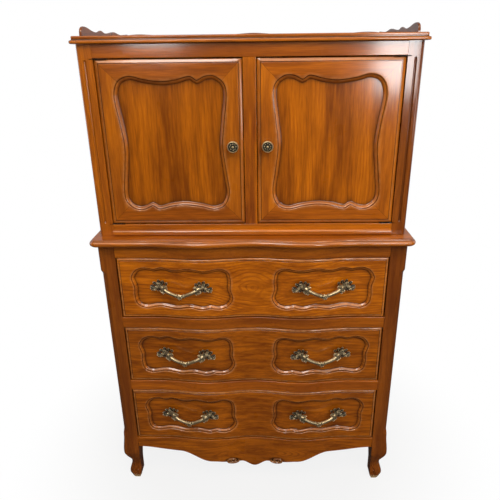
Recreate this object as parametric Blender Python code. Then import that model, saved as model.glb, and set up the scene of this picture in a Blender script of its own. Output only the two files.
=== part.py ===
"""A highboy: a chest of three serpentine drawers on short curved feet, carrying a two-door cabinet.

Metres, +Z up, front towards -Y. The origin is on the floor, under the middle of the whole piece.
"""

import math

import bmesh
import bpy
from mathutils import Matrix, Vector

# Lower chest
LOWER_WIDTH = 0.860
LOWER_DEPTH = 0.470
APRON_TOP = 0.175
DRAWER_OPENING = 0.190
RAIL_HEIGHT = 0.034
LOWER_TOP_RAIL_HEIGHT = 0.037
DRAWER_COUNT = 3
POST_SIZE = 0.046
REAR_POST_SIZE = 0.040
SWELL_DEPTH = 0.013
SWELL_MARGIN = 0.094
WAIST_THICKNESS = 0.022
WAIST_SIDE_OVERHANG = 0.017
WAIST_FRONT_OVERHANG = 0.025
WAIST_CORNER = 0.020
APRON_THICKNESS = 0.022
APRON_CENTRE = 0.058
APRON_CUSP = 0.079
APRON_LOBE = 0.085
APRON_END = 0.137

# Front feet: heights and how far the corner stands out from the post
KNEE_HEIGHT = 0.117
ANKLE_HEIGHT = 0.054
TOE_HEIGHT = 0.016
KNEE_SWELL = 0.005
ANKLE_SINK = 0.009
TOE_SINK = 0.001
SOLE_SINK = 0.005
ANKLE_SIZE = 0.034
TOE_SIZE = 0.042
SOLE_SIZE = 0.032
CORNER_ROUND = 0.004
CHAMFER = 0.014
CHAMFER_FOOT = 0.187
CHAMFER_HEAD_MARGIN = 0.073
CHAMFER_RUN = 0.018

# Boards that the case is made of
SIDE_THICKNESS = 0.018
SIDE_INSET = 0.003
SIDE_FOOT = 0.137
SIDE_ARCH = 0.014
BACK_THICKNESS = 0.008
BACK_INSET = 0.004
DUST_THICKNESS = 0.010
GUIDE_HEIGHT = 0.020
GUIDE_CLEARANCE = 0.001

# Drawers
DRAWER_GAP = 0.0025
DRAWER_FRONT_THICKNESS = 0.022
DRAWER_BACK_CLEARANCE = 0.0407
DRAWER_BOX_CLEARANCE = 0.0045
DRAWER_SIDE_THICKNESS = 0.012
DRAWER_SIDE_HEIGHT = 0.150
DRAWER_BOTTOM_THICKNESS = 0.006
DRAWER_BOTTOM_RISE = 0.010
DRAWER_GROOVE_DEPTH = 0.005
DRAWER_FIELD_CENTRE_MARGIN = 0.054
DRAWER_FIELD_END_MARGIN = 0.0335
DRAWER_FIELD_EDGE_MARGIN = 0.0255
DRAWER_FIELD_DEPTH = 0.008
FRONT_STRIP = 0.024

# Upper cabinet
UPPER_SIDE_SETBACK = 0.006
UPPER_SETBACK = 0.020
UPPER_POST_WIDTH = 0.0395
UPPER_POST_DEPTH = 0.042
UPPER_POST_ROUND = 0.009
FLUTE_WIDTH = 0.006
FLUTE_DEPTH = 0.0025
FLUTE_FROM_INNER = 0.020
FLUTE_END = 0.006
UPPER_BOTTOM_RAIL_HEIGHT = 0.033
UPPER_TOP_RAIL_HEIGHT = 0.033
DOOR_OPENING_HEIGHT = 0.429
RAIL_THICKNESS = 0.022
BEAD_HEIGHT = 0.012
BEAD_REACH = 0.007
CENTRE_STILE_WIDTH = 0.033
FLOOR_THICKNESS = 0.016
SHELF_THICKNESS = 0.018
SHELF_RISE = 0.205
SHELF_SETBACK = 0.070
DADO_DEPTH = 0.006
TOP_THICKNESS = 0.018
TOP_SIDE_OVERHANG = 0.012
TOP_FRONT_OVERHANG = 0.012
TOP_CORNER = 0.010
TOP_STEP = 0.006

# Low gallery on the top
GALLERY_HEIGHT = 0.022
GALLERY_BACK_HEIGHT = 0.019
GALLERY_DIP = 0.012
GALLERY_THICKNESS = 0.006
GALLERY_SIDE_INSET = 0.027
GALLERY_FRONT_INSET = 0.012
GALLERY_BACK_INSET = 0.012

# Doors
DOOR_GAP = 0.002
DOOR_THICKNESS = 0.020
DOOR_FIELD_SIDE_MARGIN = 0.0375
DOOR_FIELD_END_MARGIN = 0.0365
DOOR_FIELD_DEPTH = 0.009
DOOR_PANEL_BORDER = 0.012
DOOR_PANEL_INSET = 0.001
EDGE_ROUND = 0.004

# Pivot hinges
HINGE_GAP = 0.003
PIVOT_FROM_EDGE = 0.005
PIVOT_FROM_FACE = 0.0055
PIN_RADIUS = 0.002
PIN_LENGTH = 0.010
HINGE_PLATE_REACH = 0.026
HINGE_PLATE_DEPTH = 0.016
HINGE_MORTISE = 0.009

# Metalwork
KNOB_RADIUS = 0.015
KNOB_REACH = 0.026
KNOB_FROM_EDGE = 0.026
PULL_SPACING = 0.132
PULL_LEAF_LENGTH = 0.027
PULL_LEAF_HEIGHT = 0.019
PULL_LEAF_RISE = 0.010
PULL_LEAF_THICKNESS = 0.009
PULL_LEAF_LOBES = 7
PULL_LOBE_SHARE = 0.14
PULL_BOSS_RADIUS = 0.006
PULL_BOSS_HEIGHT = 0.003
PULL_GRIP_REACH = 0.029
PULL_GRIP_DROP = 0.021
PULL_GRIP_RADIUS = 0.0048
PULL_ROOT_RADIUS = 0.0065
PULL_BUD_RADIUS = 0.0065

# Gap between pieces that touch
FIT = 0.0003

# Outline of a carved field from one cusp to the opposite one, as shares of its half width and half
# height. The other half is the same stretch turned half a turn.
DOOR_FIELD = (
    (-0.477, 0.937), (-0.346, 0.992), (-0.104, 0.946), (0.138, 0.926), (0.429, 0.954), (0.692, 1.0),
    (0.907, 0.926), (1.0, 0.714), (0.948, 0.343), (0.907, 0.0), (0.948, -0.343), (1.0, -0.714),
    (0.955, -0.886), (0.796, -0.989), (0.623, -0.992), (0.477, -0.937),
)
DRAWER_FIELD = (
    (0.551, 0.921), (0.639, 0.980), (0.769, 0.987), (0.912, 0.840), (1.0, 0.486), (0.956, 0.044),
    (0.966, -0.309), (0.939, -0.692), (0.857, -0.898), (0.714, -0.980), (0.442, -0.896),
    (0.136, -0.990), (-0.136, -0.901), (-0.374, -0.999), (-0.551, -0.921),
)
FIELD_STEPS = 2
# Moulding around a carved field: how far in from its outline, and the share of its depth
FIELD_MOULDING = ((0.0, 0.0), (0.0025, 0.35), (0.0115, 1.0))

# Edges of the boards, from the underside up: share of the thickness, and how far in from the edge
WAIST_EDGE = ((0.0, 0.011), (0.18, 0.003), (0.45, 0.0), (0.72, 0.002), (0.9, 0.008), (1.0, 0.009))
TOP_EDGE = (
    (0.0, 0.004), (0.12, 0.0), (0.42, 0.0), (0.5, TOP_STEP), (0.9, TOP_STEP), (1.0, TOP_STEP + 0.002),
)
# Scallops of the gallery: share of its run, and share of its rise above a dip
GALLERY_SIDE_SCALLOPS = (
    (0.0, -0.4), (0.06, 1.0), (0.26, 0.0), (0.37, 1.0), (0.45, 0.0), (0.66, 0.6), (0.8, 0.2), (1.0, 0.6),
)
GALLERY_BACK_SCALLOPS = ((0.0, 0.5), (0.06, 0.9), (0.17, 0.1), (0.27, 0.6), (0.37, 0.1), (0.5, 1.0))
# Turned knob, as shares of its radius and reach
KNOB_PROFILE = (
    (0.0, 0.0), (0.75, 0.0), (0.75, 0.10), (0.5, 0.2), (0.38, 0.4), (0.55, 0.55), (0.93, 0.66),
    (1.0, 0.78), (0.85, 0.92), (0.45, 1.0), (0.0, 1.0),
)
# Dome of a pull's leaf, as shares of its thickness and size
PULL_LEAF_DOME = ((0.0, 0.9), (0.35, 1.0), (0.75, 0.75), (1.0, 0.35))
# Half of a pull's grip: shares of its spacing, of its reach beyond the leaf, and of its drop
PULL_GRIP_PATH = ((-0.5, 0.0, 0.0), (-0.4, 0.5, 0.1), (-0.25, 1.0, 0.6), (0.0, 1.0, 1.0))

# Places and sizes that follow from the ones above
LOWER_HALF = LOWER_WIDTH / 2
POST_INNER = LOWER_HALF - POST_SIZE
SWELL_SPAN = POST_INNER - SWELL_MARGIN
FRONT_Y = (WAIST_FRONT_OVERHANG + SWELL_DEPTH - LOWER_DEPTH) / 2
BACK_Y = FRONT_Y + LOWER_DEPTH
BACK_FACE_Y = BACK_Y - BACK_INSET - BACK_THICKNESS
DRAWER_PITCH = DRAWER_OPENING + RAIL_HEIGHT
DRAWER_HEIGHT = DRAWER_OPENING - 2 * DRAWER_GAP
DRAWER_HALF = POST_INNER - DRAWER_GAP
LOWER_TOP = APRON_TOP + DRAWER_COUNT * DRAWER_PITCH - RAIL_HEIGHT + LOWER_TOP_RAIL_HEIGHT
WAIST_TOP = LOWER_TOP + WAIST_THICKNESS
SIDE_INNER = LOWER_HALF - SIDE_INSET - SIDE_THICKNESS
BOX_HALF = POST_INNER - DRAWER_BOX_CLEARANCE
BOX_FRONT_Y = FRONT_Y + DRAWER_FRONT_THICKNESS + FIT
BOX_BACK_Y = BACK_FACE_Y - DRAWER_BACK_CLEARANCE
UPPER_HALF = LOWER_HALF - UPPER_SIDE_SETBACK
UPPER_Y = FRONT_Y + UPPER_SETBACK
UPPER_INNER = UPPER_HALF - UPPER_POST_WIDTH
UPPER_SIDE_INNER = UPPER_HALF - SIDE_INSET - SIDE_THICKNESS
OPENING_FOOT = WAIST_TOP + UPPER_BOTTOM_RAIL_HEIGHT
OPENING_HEAD = OPENING_FOOT + DOOR_OPENING_HEIGHT
UPPER_TOP = OPENING_HEAD + UPPER_TOP_RAIL_HEIGHT
TOP_Z = UPPER_TOP + TOP_THICKNESS
TOP_HALF = UPPER_HALF + TOP_SIDE_OVERHANG
DOOR_INNER = CENTRE_STILE_WIDTH / 2 + DOOR_GAP
DOOR_OUTER = UPPER_INNER - DOOR_GAP
DOOR_FOOT = OPENING_FOOT + HINGE_GAP
DOOR_HEAD = OPENING_HEAD - HINGE_GAP
PIVOT_X = DOOR_OUTER - PIVOT_FROM_EDGE
PIVOT_Y = UPPER_Y + PIVOT_FROM_FACE
SHELF_Z = OPENING_FOOT + SHELF_RISE


def clear_scene():
    for obj in list(bpy.data.objects):
        bpy.data.objects.remove(obj, do_unlink=True)


def finish(name, colour, roughness, metallic=0.0):
    material = bpy.data.materials.new(name)
    material.use_nodes = True
    shader = material.node_tree.nodes["Principled BSDF"]
    shader.inputs["Base Color"].default_value = (*colour, 1.0)
    shader.inputs["Roughness"].default_value = roughness
    shader.inputs["Metallic"].default_value = metallic
    return material


def add_piece(name, bm, material, parent=None):
    """An object made of this mesh, which stays where it was modelled when it has a parent."""
    bmesh.ops.recalc_face_normals(bm, faces=bm.faces)
    mesh = bpy.data.meshes.new(name)
    bm.to_mesh(mesh)
    bm.free()
    mesh.materials.append(material)
    mesh.shade_smooth()
    mesh.set_sharp_from_angle(angle=math.radians(35))
    obj = bpy.data.objects.new(name, mesh)
    bpy.context.scene.collection.objects.link(obj)
    if parent:
        obj.parent = parent
        obj.location = -parent.location
    return obj


def add_joint(name, place):
    joint = bpy.data.objects.new(name, None)
    joint.location = place
    joint.empty_display_size = 0.03
    bpy.context.scene.collection.objects.link(joint)
    return joint


def combine(obj, name, bm, operation):
    """Joins a helper shape to an object, or cuts it out. The helper itself isn't part of the object."""
    helper = add_piece(name, bm, obj.data.materials[0])
    helper.hide_render = True
    helper.display_type = "WIRE"
    modifier = obj.modifiers.new(name, "BOOLEAN")
    modifier.operation = operation
    modifier.object = helper
    return helper


def box(low, high):
    bm = bmesh.new()
    low = Vector(low)
    size = Vector(high) - low
    place = Matrix.Translation(low + size / 2) @ Matrix.Diagonal((*size, 1.0))
    bmesh.ops.create_cube(bm, size=1.0, matrix=place)
    return bm


def cylinder(centre, radius, low, high, segments=16):
    bm = bmesh.new()
    place = Matrix.Translation((centre[0], centre[1], (low + high) / 2))
    bmesh.ops.create_cone(
        bm, cap_ends=True, segments=segments, radius1=radius, radius2=radius, depth=high - low, matrix=place
    )
    return bm


def loft(sections, ring=False):
    """A solid through loops of equally many points, closed by its first and last loop or into a ring."""
    bm = bmesh.new()
    loops = [[bm.verts.new(point) for point in section] for section in sections]
    pairs = list(zip(loops, loops[1:]))
    if ring:
        pairs.append((loops[-1], loops[0]))
    for one, two in pairs:
        for i in range(len(one)):
            bm.faces.new((one[i - 1], one[i], two[i], two[i - 1]))
    if not ring:
        bm.faces.new(loops[0])
        bm.faces.new(loops[-1])
    return bm


def smooth_curve(points, steps):
    """Points along a smooth open curve through the given ones, without the last of them."""
    ends = [2 * points[0] - points[1], *points, 2 * points[-1] - points[-2]]
    curve = []
    for before, start, end, after in zip(ends, ends[1:], ends[2:], ends[3:]):
        for i in range(steps):
            t = i / steps
            square = (2 * before - 5 * start + 4 * end - after) * t**2
            cube = (3 * start - before - 3 * end + after) * t**3
            curve.append((2 * start + (end - before) * t + square + cube) / 2)
    return curve


def ease(keys, value):
    """The value between two keys, passed smoothly from one to the next."""
    for (start, low), (end, high) in zip(keys, keys[1:]):
        if value <= end:
            share = max(0.0, (value - start) / (end - start))
            return low + (high - low) * (1 - math.cos(math.pi * share)) / 2
    return keys[-1][1]


def spread(low, high, count):
    return [low + (high - low) * i / count for i in range(count + 1)]


def swell(x):
    """How far the serpentine front stands forward of the posts."""
    if abs(x) >= SWELL_SPAN:
        return 0.0
    return SWELL_DEPTH * (1 - math.cos(2 * math.pi * x / SWELL_SPAN)) / 2


def serpentine(half):
    """Places across a front, close together where it curves."""
    curved = spread(-SWELL_SPAN, SWELL_SPAN, 24)
    return [-half, *curved, half]


def field_outline(shape, half_width, half_height):
    turn = smooth_curve([Vector((u * half_width, v * half_height)) for u, v in shape], FIELD_STEPS)
    return turn + [-point for point in turn]


def moved_in(outline, distance):
    """A clockwise outline moved towards its inside."""
    moved = []
    for i, point in enumerate(outline):
        along = (outline[(i + 1) % len(outline)] - outline[i - 1]).normalized()
        moved.append(point + distance * Vector((along.y, -along.x)))
    return moved


def on_rectangle(outline, low, high):
    """Where rays from the middle through an outline's points meet a rectangle around it, corners kept."""
    edge = []
    for point in outline:
        reach_x = (high[0] if point.x > 0 else low[0]) / point.x if point.x else math.inf
        reach_y = (high[1] if point.y > 0 else low[1]) / point.y if point.y else math.inf
        edge.append(point * min(reach_x, reach_y))
    for x in (low[0], high[0]):
        for y in (low[1], high[1]):
            corner = Vector((x, y))
            nearest = max(range(len(edge)), key=lambda i: outline[i].normalized().dot(corner.normalized()))
            edge[nearest] = corner
    return edge


def stretched(points, low, high, new_low, new_high):
    """Points of one rectangle carried to another."""
    fitted = []
    for point in points:
        share_x = (point.x - low[0]) / (high[0] - low[0])
        share_y = (point.y - low[1]) / (high[1] - low[1])
        x = new_low[0] + share_x * (new_high[0] - new_low[0])
        y = new_low[1] + share_y * (new_high[1] - new_low[1])
        fitted.append(Vector((x, y)))
    return fitted


def front_leg(name, side, material):
    """Corner post with a chamfered corner, running down into a knee, an ankle and a toe."""
    top = LOWER_TOP - FIT
    head = LOWER_TOP - CHAMFER_HEAD_MARGIN
    outward = (
        (0.0, -SOLE_SINK), (TOE_HEIGHT, -TOE_SINK), (ANKLE_HEIGHT, -ANKLE_SINK),
        (KNEE_HEIGHT, KNEE_SWELL), (CHAMFER_FOOT, 0.0), (top, 0.0),
    )
    size = (
        (0.0, SOLE_SIZE), (TOE_HEIGHT, TOE_SIZE), (ANKLE_HEIGHT, ANKLE_SIZE),
        (KNEE_HEIGHT, POST_SIZE + KNEE_SWELL), (CHAMFER_FOOT, POST_SIZE), (top, POST_SIZE),
    )
    corner = (
        (0.0, CHAMFER), (ANKLE_HEIGHT, CHAMFER), (KNEE_HEIGHT, CORNER_ROUND), (CHAMFER_FOOT, CORNER_ROUND),
        (CHAMFER_FOOT + CHAMFER_RUN, CHAMFER), (head - CHAMFER_RUN, CHAMFER), (head, CORNER_ROUND),
        (top, CORNER_ROUND),
    )
    heights = spread(0.0, CHAMFER_FOOT, 16)
    heights += [CHAMFER_FOOT + CHAMFER_RUN * share for share in (0.33, 0.67, 1.0)]
    heights += [head - CHAMFER_RUN * share for share in (1.0, 0.67, 0.33, 0.0)]
    sections = []
    for z in [*heights, top]:
        outer = LOWER_HALF + ease(outward, z)
        front = FRONT_Y - ease(outward, z)
        width = ease(size, z)
        cut = ease(corner, z)
        loop = [(outer - width, front)]
        for turn in spread(0.0, math.pi / 2, 3):
            loop.append((outer - cut + cut * math.sin(turn), front + cut - cut * math.cos(turn)))
        loop.append((outer, front + width))
        loop.append((outer - width, front + width))
        sections.append([(side * x, y, z) for x, y in loop])
    return add_piece(name, loft(sections), material)


def rear_leg(name, side, material):
    """Plain rear post, drawn in towards the floor."""
    sections = []
    for z, width in ((0.0, SOLE_SIZE), (KNEE_HEIGHT, REAR_POST_SIZE), (LOWER_TOP - FIT, REAR_POST_SIZE)):
        inner = side * (LOWER_HALF - width)
        outer = side * LOWER_HALF
        front = BACK_Y - width
        sections.append([(inner, front, z), (outer, front, z), (outer, BACK_Y, z), (inner, BACK_Y, z)])
    return add_piece(name, loft(sections), material)


def lower_side(name, side, material):
    """Side board between the posts, arched along its foot."""
    front = FRONT_Y + POST_SIZE + FIT
    back = BACK_Y - REAR_POST_SIZE - FIT
    outer = side * (LOWER_HALF - SIDE_INSET)
    sections = []
    for y in spread(front, back, 12):
        foot = SIDE_FOOT + SIDE_ARCH * math.sin(math.pi * (y - front) / (back - front))
        top = LOWER_TOP - FIT
        inner = side * SIDE_INNER
        sections.append([(inner, y, foot), (outer, y, foot), (outer, y, top), (inner, y, top)])
    return add_piece(name, loft(sections), material)


def front_rail(name, foot, top, material):
    """Rail across the front of the chest, with the serpentine face."""
    back = FRONT_Y + POST_SIZE
    sections = []
    for x in serpentine(POST_INNER - FIT):
        front = FRONT_Y - swell(x)
        sections.append([(x, front, foot), (x, front, top), (x, back, top), (x, back, foot)])
    return add_piece(name, loft(sections), material)


def apron_edge(x, half):
    """Height of the apron's lower edge: a middle lobe, a cusp, a wide lobe and a rise to the legs."""
    keys = (
        (0.0, APRON_CENTRE), (0.11, APRON_CUSP), (0.24, APRON_CUSP), (0.38, APRON_LOBE),
        (0.72, APRON_END - SIDE_ARCH), (1.0, APRON_END),
    )
    return ease([(share * half, height) for share, height in keys], abs(x))


def apron(material):
    """Shaped board under the lowest drawer."""
    half = POST_INNER - FIT
    back = FRONT_Y + APRON_THICKNESS
    top = APRON_TOP - FIT
    sections = []
    for x in spread(-half, half, 48):
        front = FRONT_Y - swell(x)
        foot = apron_edge(x, half)
        sections.append([(x, front, foot), (x, front, top), (x, back, top), (x, back, foot)])
    return add_piece("apron", loft(sections), material)


def dust_board(name, top, material):
    """Board behind a rail that carries the drawer above it, with a guide strip along each side."""
    guide = BOX_HALF + GUIDE_CLEARANCE
    edge = SIDE_INNER - FIT
    foot = top - DUST_THICKNESS
    head = top + GUIDE_HEIGHT
    profile = (
        (-edge, foot), (edge, foot), (edge, head), (guide, head), (guide, top), (-guide, top),
        (-guide, head), (-edge, head),
    )
    ends = (FRONT_Y + POST_SIZE + FIT, BACK_Y - REAR_POST_SIZE - FIT)
    return add_piece(name, loft([[(x, y, z) for x, z in profile] for y in ends]), material)


def waist_top(material):
    """Top of the chest with a moulded edge that follows the serpentine front."""
    end_y = FRONT_Y - WAIST_FRONT_OVERHANG
    half = LOWER_HALF + WAIST_SIDE_OVERHANG
    sections = []
    for share, inset in WAIST_EDGE:
        z = LOWER_TOP + share * WAIST_THICKNESS
        loop = [(half - inset, BACK_Y)]
        for turn in spread(0.0, math.pi / 2, 4):
            x = half - WAIST_CORNER + (WAIST_CORNER - inset) * math.cos(turn)
            loop.append((x, end_y + WAIST_CORNER - (WAIST_CORNER - inset) * math.sin(turn)))
        middle = [(x, end_y - swell(x) + inset) for x in reversed(spread(-SWELL_SPAN, SWELL_SPAN, 24))]
        mirrored = [(-x, y) for x, y in reversed(loop)]
        sections.append([(x, y, z) for x, y in [*loop, *middle, *mirrored]])
    return add_piece("waist_top", loft(sections), material)


def back_panel(name, half, foot, top, material):
    return add_piece(
        name, box((-half, BACK_FACE_Y, foot), (half, BACK_FACE_Y + BACK_THICKNESS, top)), material
    )


def upper_post(name, side, material):
    """Front post of the cabinet: a rounded corner, and a flute stopped short of both ends."""
    foot = WAIST_TOP + FIT
    top = UPPER_TOP - FIT
    flute_x = UPPER_INNER + FLUTE_FROM_INNER
    sections = []
    for z, depth in (
        (foot, 0.0), (DOOR_FOOT, 0.0), (DOOR_FOOT + FLUTE_END, FLUTE_DEPTH),
        (DOOR_HEAD - FLUTE_END, FLUTE_DEPTH), (DOOR_HEAD, 0.0), (top, 0.0),
    ):
        loop = [
            (UPPER_INNER, UPPER_Y), (flute_x - FLUTE_WIDTH / 2, UPPER_Y), (flute_x, UPPER_Y + depth),
            (flute_x + FLUTE_WIDTH / 2, UPPER_Y),
        ]
        for turn in spread(0.0, math.pi / 2, 4):
            x = UPPER_HALF - UPPER_POST_ROUND * (1 - math.sin(turn))
            loop.append((x, UPPER_Y + UPPER_POST_ROUND * (1 - math.cos(turn))))
        loop += [(UPPER_HALF, UPPER_Y + UPPER_POST_DEPTH), (UPPER_INNER, UPPER_Y + UPPER_POST_DEPTH)]
        sections.append([(side * x, y, z) for x, y in loop])
    return add_piece(name, loft(sections), material)


def upper_side(name, side, material):
    """Side board of the cabinet, with a groove that holds the shelf's end."""
    foot = WAIST_TOP + FIT
    top = UPPER_TOP - FIT
    outer = UPPER_HALF - SIDE_INSET
    inner = UPPER_SIDE_INNER
    seat = inner + DADO_DEPTH
    profile = (
        (outer, foot), (outer, top), (inner, top), (inner, SHELF_Z + SHELF_THICKNESS + FIT),
        (seat, SHELF_Z + SHELF_THICKNESS + FIT), (seat, SHELF_Z - FIT), (inner, SHELF_Z - FIT), (inner, foot),
    )
    ends = (UPPER_Y + UPPER_POST_DEPTH + FIT, BACK_Y)
    return add_piece(name, loft([[(side * x, y, z) for x, z in profile] for y in ends]), material)


def upper_bottom_rail(material):
    """Rail under the doors, with a bead along its foot."""
    foot = WAIST_TOP + FIT
    back = UPPER_Y + UPPER_POST_DEPTH
    profile = [(back, foot)]
    for turn in spread(0.0, math.pi, 6):
        profile.append((UPPER_Y - BEAD_REACH * math.sin(turn), foot + BEAD_HEIGHT * (1 - math.cos(turn)) / 2))
    profile += [(UPPER_Y, OPENING_FOOT), (back, OPENING_FOOT)]
    ends = (-UPPER_INNER + FIT, UPPER_INNER - FIT)
    return add_piece("upper_bottom_rail", loft([[(x, y, z) for y, z in profile] for x in ends]), material)


def top_board(material):
    """Top of the cabinet with a stepped edge on three sides."""
    front = UPPER_Y - TOP_FRONT_OVERHANG
    sections = []
    for share, inset in TOP_EDGE:
        loop = [(TOP_HALF - inset, BACK_Y)]
        for turn in spread(0.0, math.pi / 2, 3):
            radius = TOP_CORNER - inset
            x = TOP_HALF - TOP_CORNER + radius * math.cos(turn)
            loop.append((x, front + TOP_CORNER - radius * math.sin(turn)))
        loop += [(-x, y) for x, y in reversed(loop)]
        sections.append([(x, y, UPPER_TOP + share * TOP_THICKNESS) for x, y in loop])
    return add_piece("top_board", loft(sections), material)


def gallery_strip(name, start, end, across, height, keys, material):
    """Thin upright strip on the top with a scalloped upper edge. across is the way of its thickness."""
    start = Vector(start)
    run = Vector(end) - start
    across = Vector(across) * GALLERY_THICKNESS
    rise = height - GALLERY_DIP
    sections = []
    for share in spread(0.0, 1.0, 36):
        base = start + run * share
        head = Vector((0, 0, GALLERY_DIP + rise * ease(keys, share)))
        sections.append([base, base + across, base + across + head, base + head])
    return add_piece(name, loft(sections), material)


def gallery(material):
    """Low gallery along the back and both sides of the top."""
    outer = TOP_HALF - GALLERY_SIDE_INSET
    foot = TOP_Z + FIT
    back = BACK_Y - GALLERY_BACK_INSET - GALLERY_THICKNESS
    front = UPPER_Y - TOP_FRONT_OVERHANG + GALLERY_FRONT_INSET
    mirrored = [(1 - share, rise) for share, rise in reversed(GALLERY_BACK_SCALLOPS[:-1])]
    back_keys = [*GALLERY_BACK_SCALLOPS, *mirrored]
    ends = ((-outer, back, foot), (outer, back, foot))
    gallery_strip("gallery_back", *ends, (0, 1, 0), GALLERY_BACK_HEIGHT, back_keys, material)
    for name, side in (("gallery_left", -1), ("gallery_right", 1)):
        ends = ((side * outer, front, foot), (side * outer, back - FIT, foot))
        gallery_strip(name, *ends, (-side, 0, 0), GALLERY_HEIGHT, GALLERY_SIDE_SCALLOPS, material)


def door_frame(name, side, material, parent):
    """Door frame with a shaped, moulded opening, a rounded edge and a rebate behind for its panel."""
    half_width = (DOOR_OUTER - DOOR_INNER) / 2
    half_height = (DOOR_HEAD - DOOR_FOOT) / 2
    centre = Vector((DOOR_INNER + half_width, DOOR_FOOT + half_height))
    field = Vector((half_width - DOOR_FIELD_SIDE_MARGIN, half_height - DOOR_FIELD_END_MARGIN))
    outline = field_outline(DOOR_FIELD, field.x, field.y)
    high = (half_width, half_height)
    low = (-half_width, -half_height)
    edge = on_rectangle(outline, low, high)

    def rectangle(x, y):
        return stretched(edge, low, high, (-x, -y), (x, y))

    rebate = rectangle(field.x + DOOR_PANEL_BORDER, field.y + DOOR_PANEL_BORDER)
    loops = [(edge, DOOR_THICKNESS), (edge, EDGE_ROUND)]
    for turn in (math.pi / 4, math.pi / 2):
        inset = EDGE_ROUND * (1 - math.cos(turn))
        loops.append((rectangle(half_width - inset, half_height - inset), EDGE_ROUND * (1 - math.sin(turn))))
    loops += [(moved_in(outline, inset), share * DOOR_FIELD_DEPTH) for inset, share in FIELD_MOULDING]
    loops += [(rebate, DOOR_FIELD_DEPTH), (rebate, DOOR_THICKNESS)]
    sections = []
    for points, depth in loops:
        sections.append([(side * (centre.x + p.x), UPPER_Y + depth, centre.y + p.y) for p in points])
    frame = add_piece(name, loft(sections, ring=True), material, parent)
    for end, low_z in (("head", DOOR_HEAD - PIN_LENGTH - FIT), ("foot", DOOR_FOOT - FIT)):
        high_z = low_z + PIN_LENGTH + 2 * FIT
        hole = cylinder((side * PIVOT_X, PIVOT_Y), PIN_RADIUS + FIT, low_z, high_z)
        combine(frame, f"{name}_{end}_pivot_hole", hole, "DIFFERENCE")
    return frame


def door_panel(name, side, material, parent):
    """Flat panel in the rebate behind a door frame's opening."""
    margin_x = DOOR_FIELD_SIDE_MARGIN - DOOR_PANEL_BORDER + FIT
    margin_z = DOOR_FIELD_END_MARGIN - DOOR_PANEL_BORDER + FIT
    ends = sorted((side * (DOOR_INNER + margin_x), side * (DOOR_OUTER - margin_x)))
    low = (ends[0], UPPER_Y + DOOR_FIELD_DEPTH + FIT, DOOR_FOOT + margin_z)
    high = (ends[1], UPPER_Y + DOOR_THICKNESS - DOOR_PANEL_INSET, DOOR_HEAD - margin_z)
    return add_piece(name, box(low, high), material, parent)


def door_knob(name, side, material, parent):
    """Turned knob: a base, a neck and a domed head."""
    bm = bmesh.new()
    verts = [bm.verts.new((radius * KNOB_RADIUS, -reach * KNOB_REACH, 0)) for radius, reach in KNOB_PROFILE]
    edges = [bm.edges.new(pair) for pair in zip(verts, verts[1:])]
    bmesh.ops.spin(
        bm, geom=[*verts, *edges], cent=(0, 0, 0), axis=(0, 1, 0), angle=2 * math.pi, steps=20, use_merge=True
    )
    bmesh.ops.remove_doubles(bm, verts=bm.verts, dist=FIT / 10)
    place = (side * (DOOR_INNER + KNOB_FROM_EDGE), UPPER_Y - FIT, (DOOR_FOOT + DOOR_HEAD) / 2)
    bmesh.ops.translate(bm, verts=bm.verts, vec=place)
    return add_piece(name, bm, material, parent)


def pivot_hinge(name, side, gap_foot, pin_down, post, material):
    """Plate in the gap at a door's corner, let into the post, with the pin that the door turns on."""
    low_z = gap_foot + FIT
    high_z = gap_foot + HINGE_GAP - FIT
    ends = sorted((side * (PIVOT_X - HINGE_PLATE_REACH), side * (UPPER_INNER + HINGE_MORTISE)))
    plate = box((ends[0], UPPER_Y, low_z), (ends[1], UPPER_Y + HINGE_PLATE_DEPTH, high_z))
    hinge = add_piece(name, plate, material)
    pin_tip = high_z - PIN_LENGTH if pin_down else low_z + PIN_LENGTH
    pin_ends = sorted((pin_tip, (low_z + high_z) / 2))
    pin = cylinder((side * PIVOT_X, PIVOT_Y), PIN_RADIUS, *pin_ends)
    combine(hinge, f"{name}_pin", pin, "UNION")
    mortise_ends = sorted((side * (UPPER_INNER - HINGE_MORTISE), side * (UPPER_INNER + HINGE_MORTISE + FIT)))
    mortise = box(
        (mortise_ends[0], UPPER_Y - HINGE_GAP, low_z - FIT),
        (mortise_ends[1], UPPER_Y + HINGE_PLATE_DEPTH + FIT, high_z + FIT),
    )
    combine(post, f"{name}_mortise", mortise, "DIFFERENCE")
    return hinge


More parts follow.
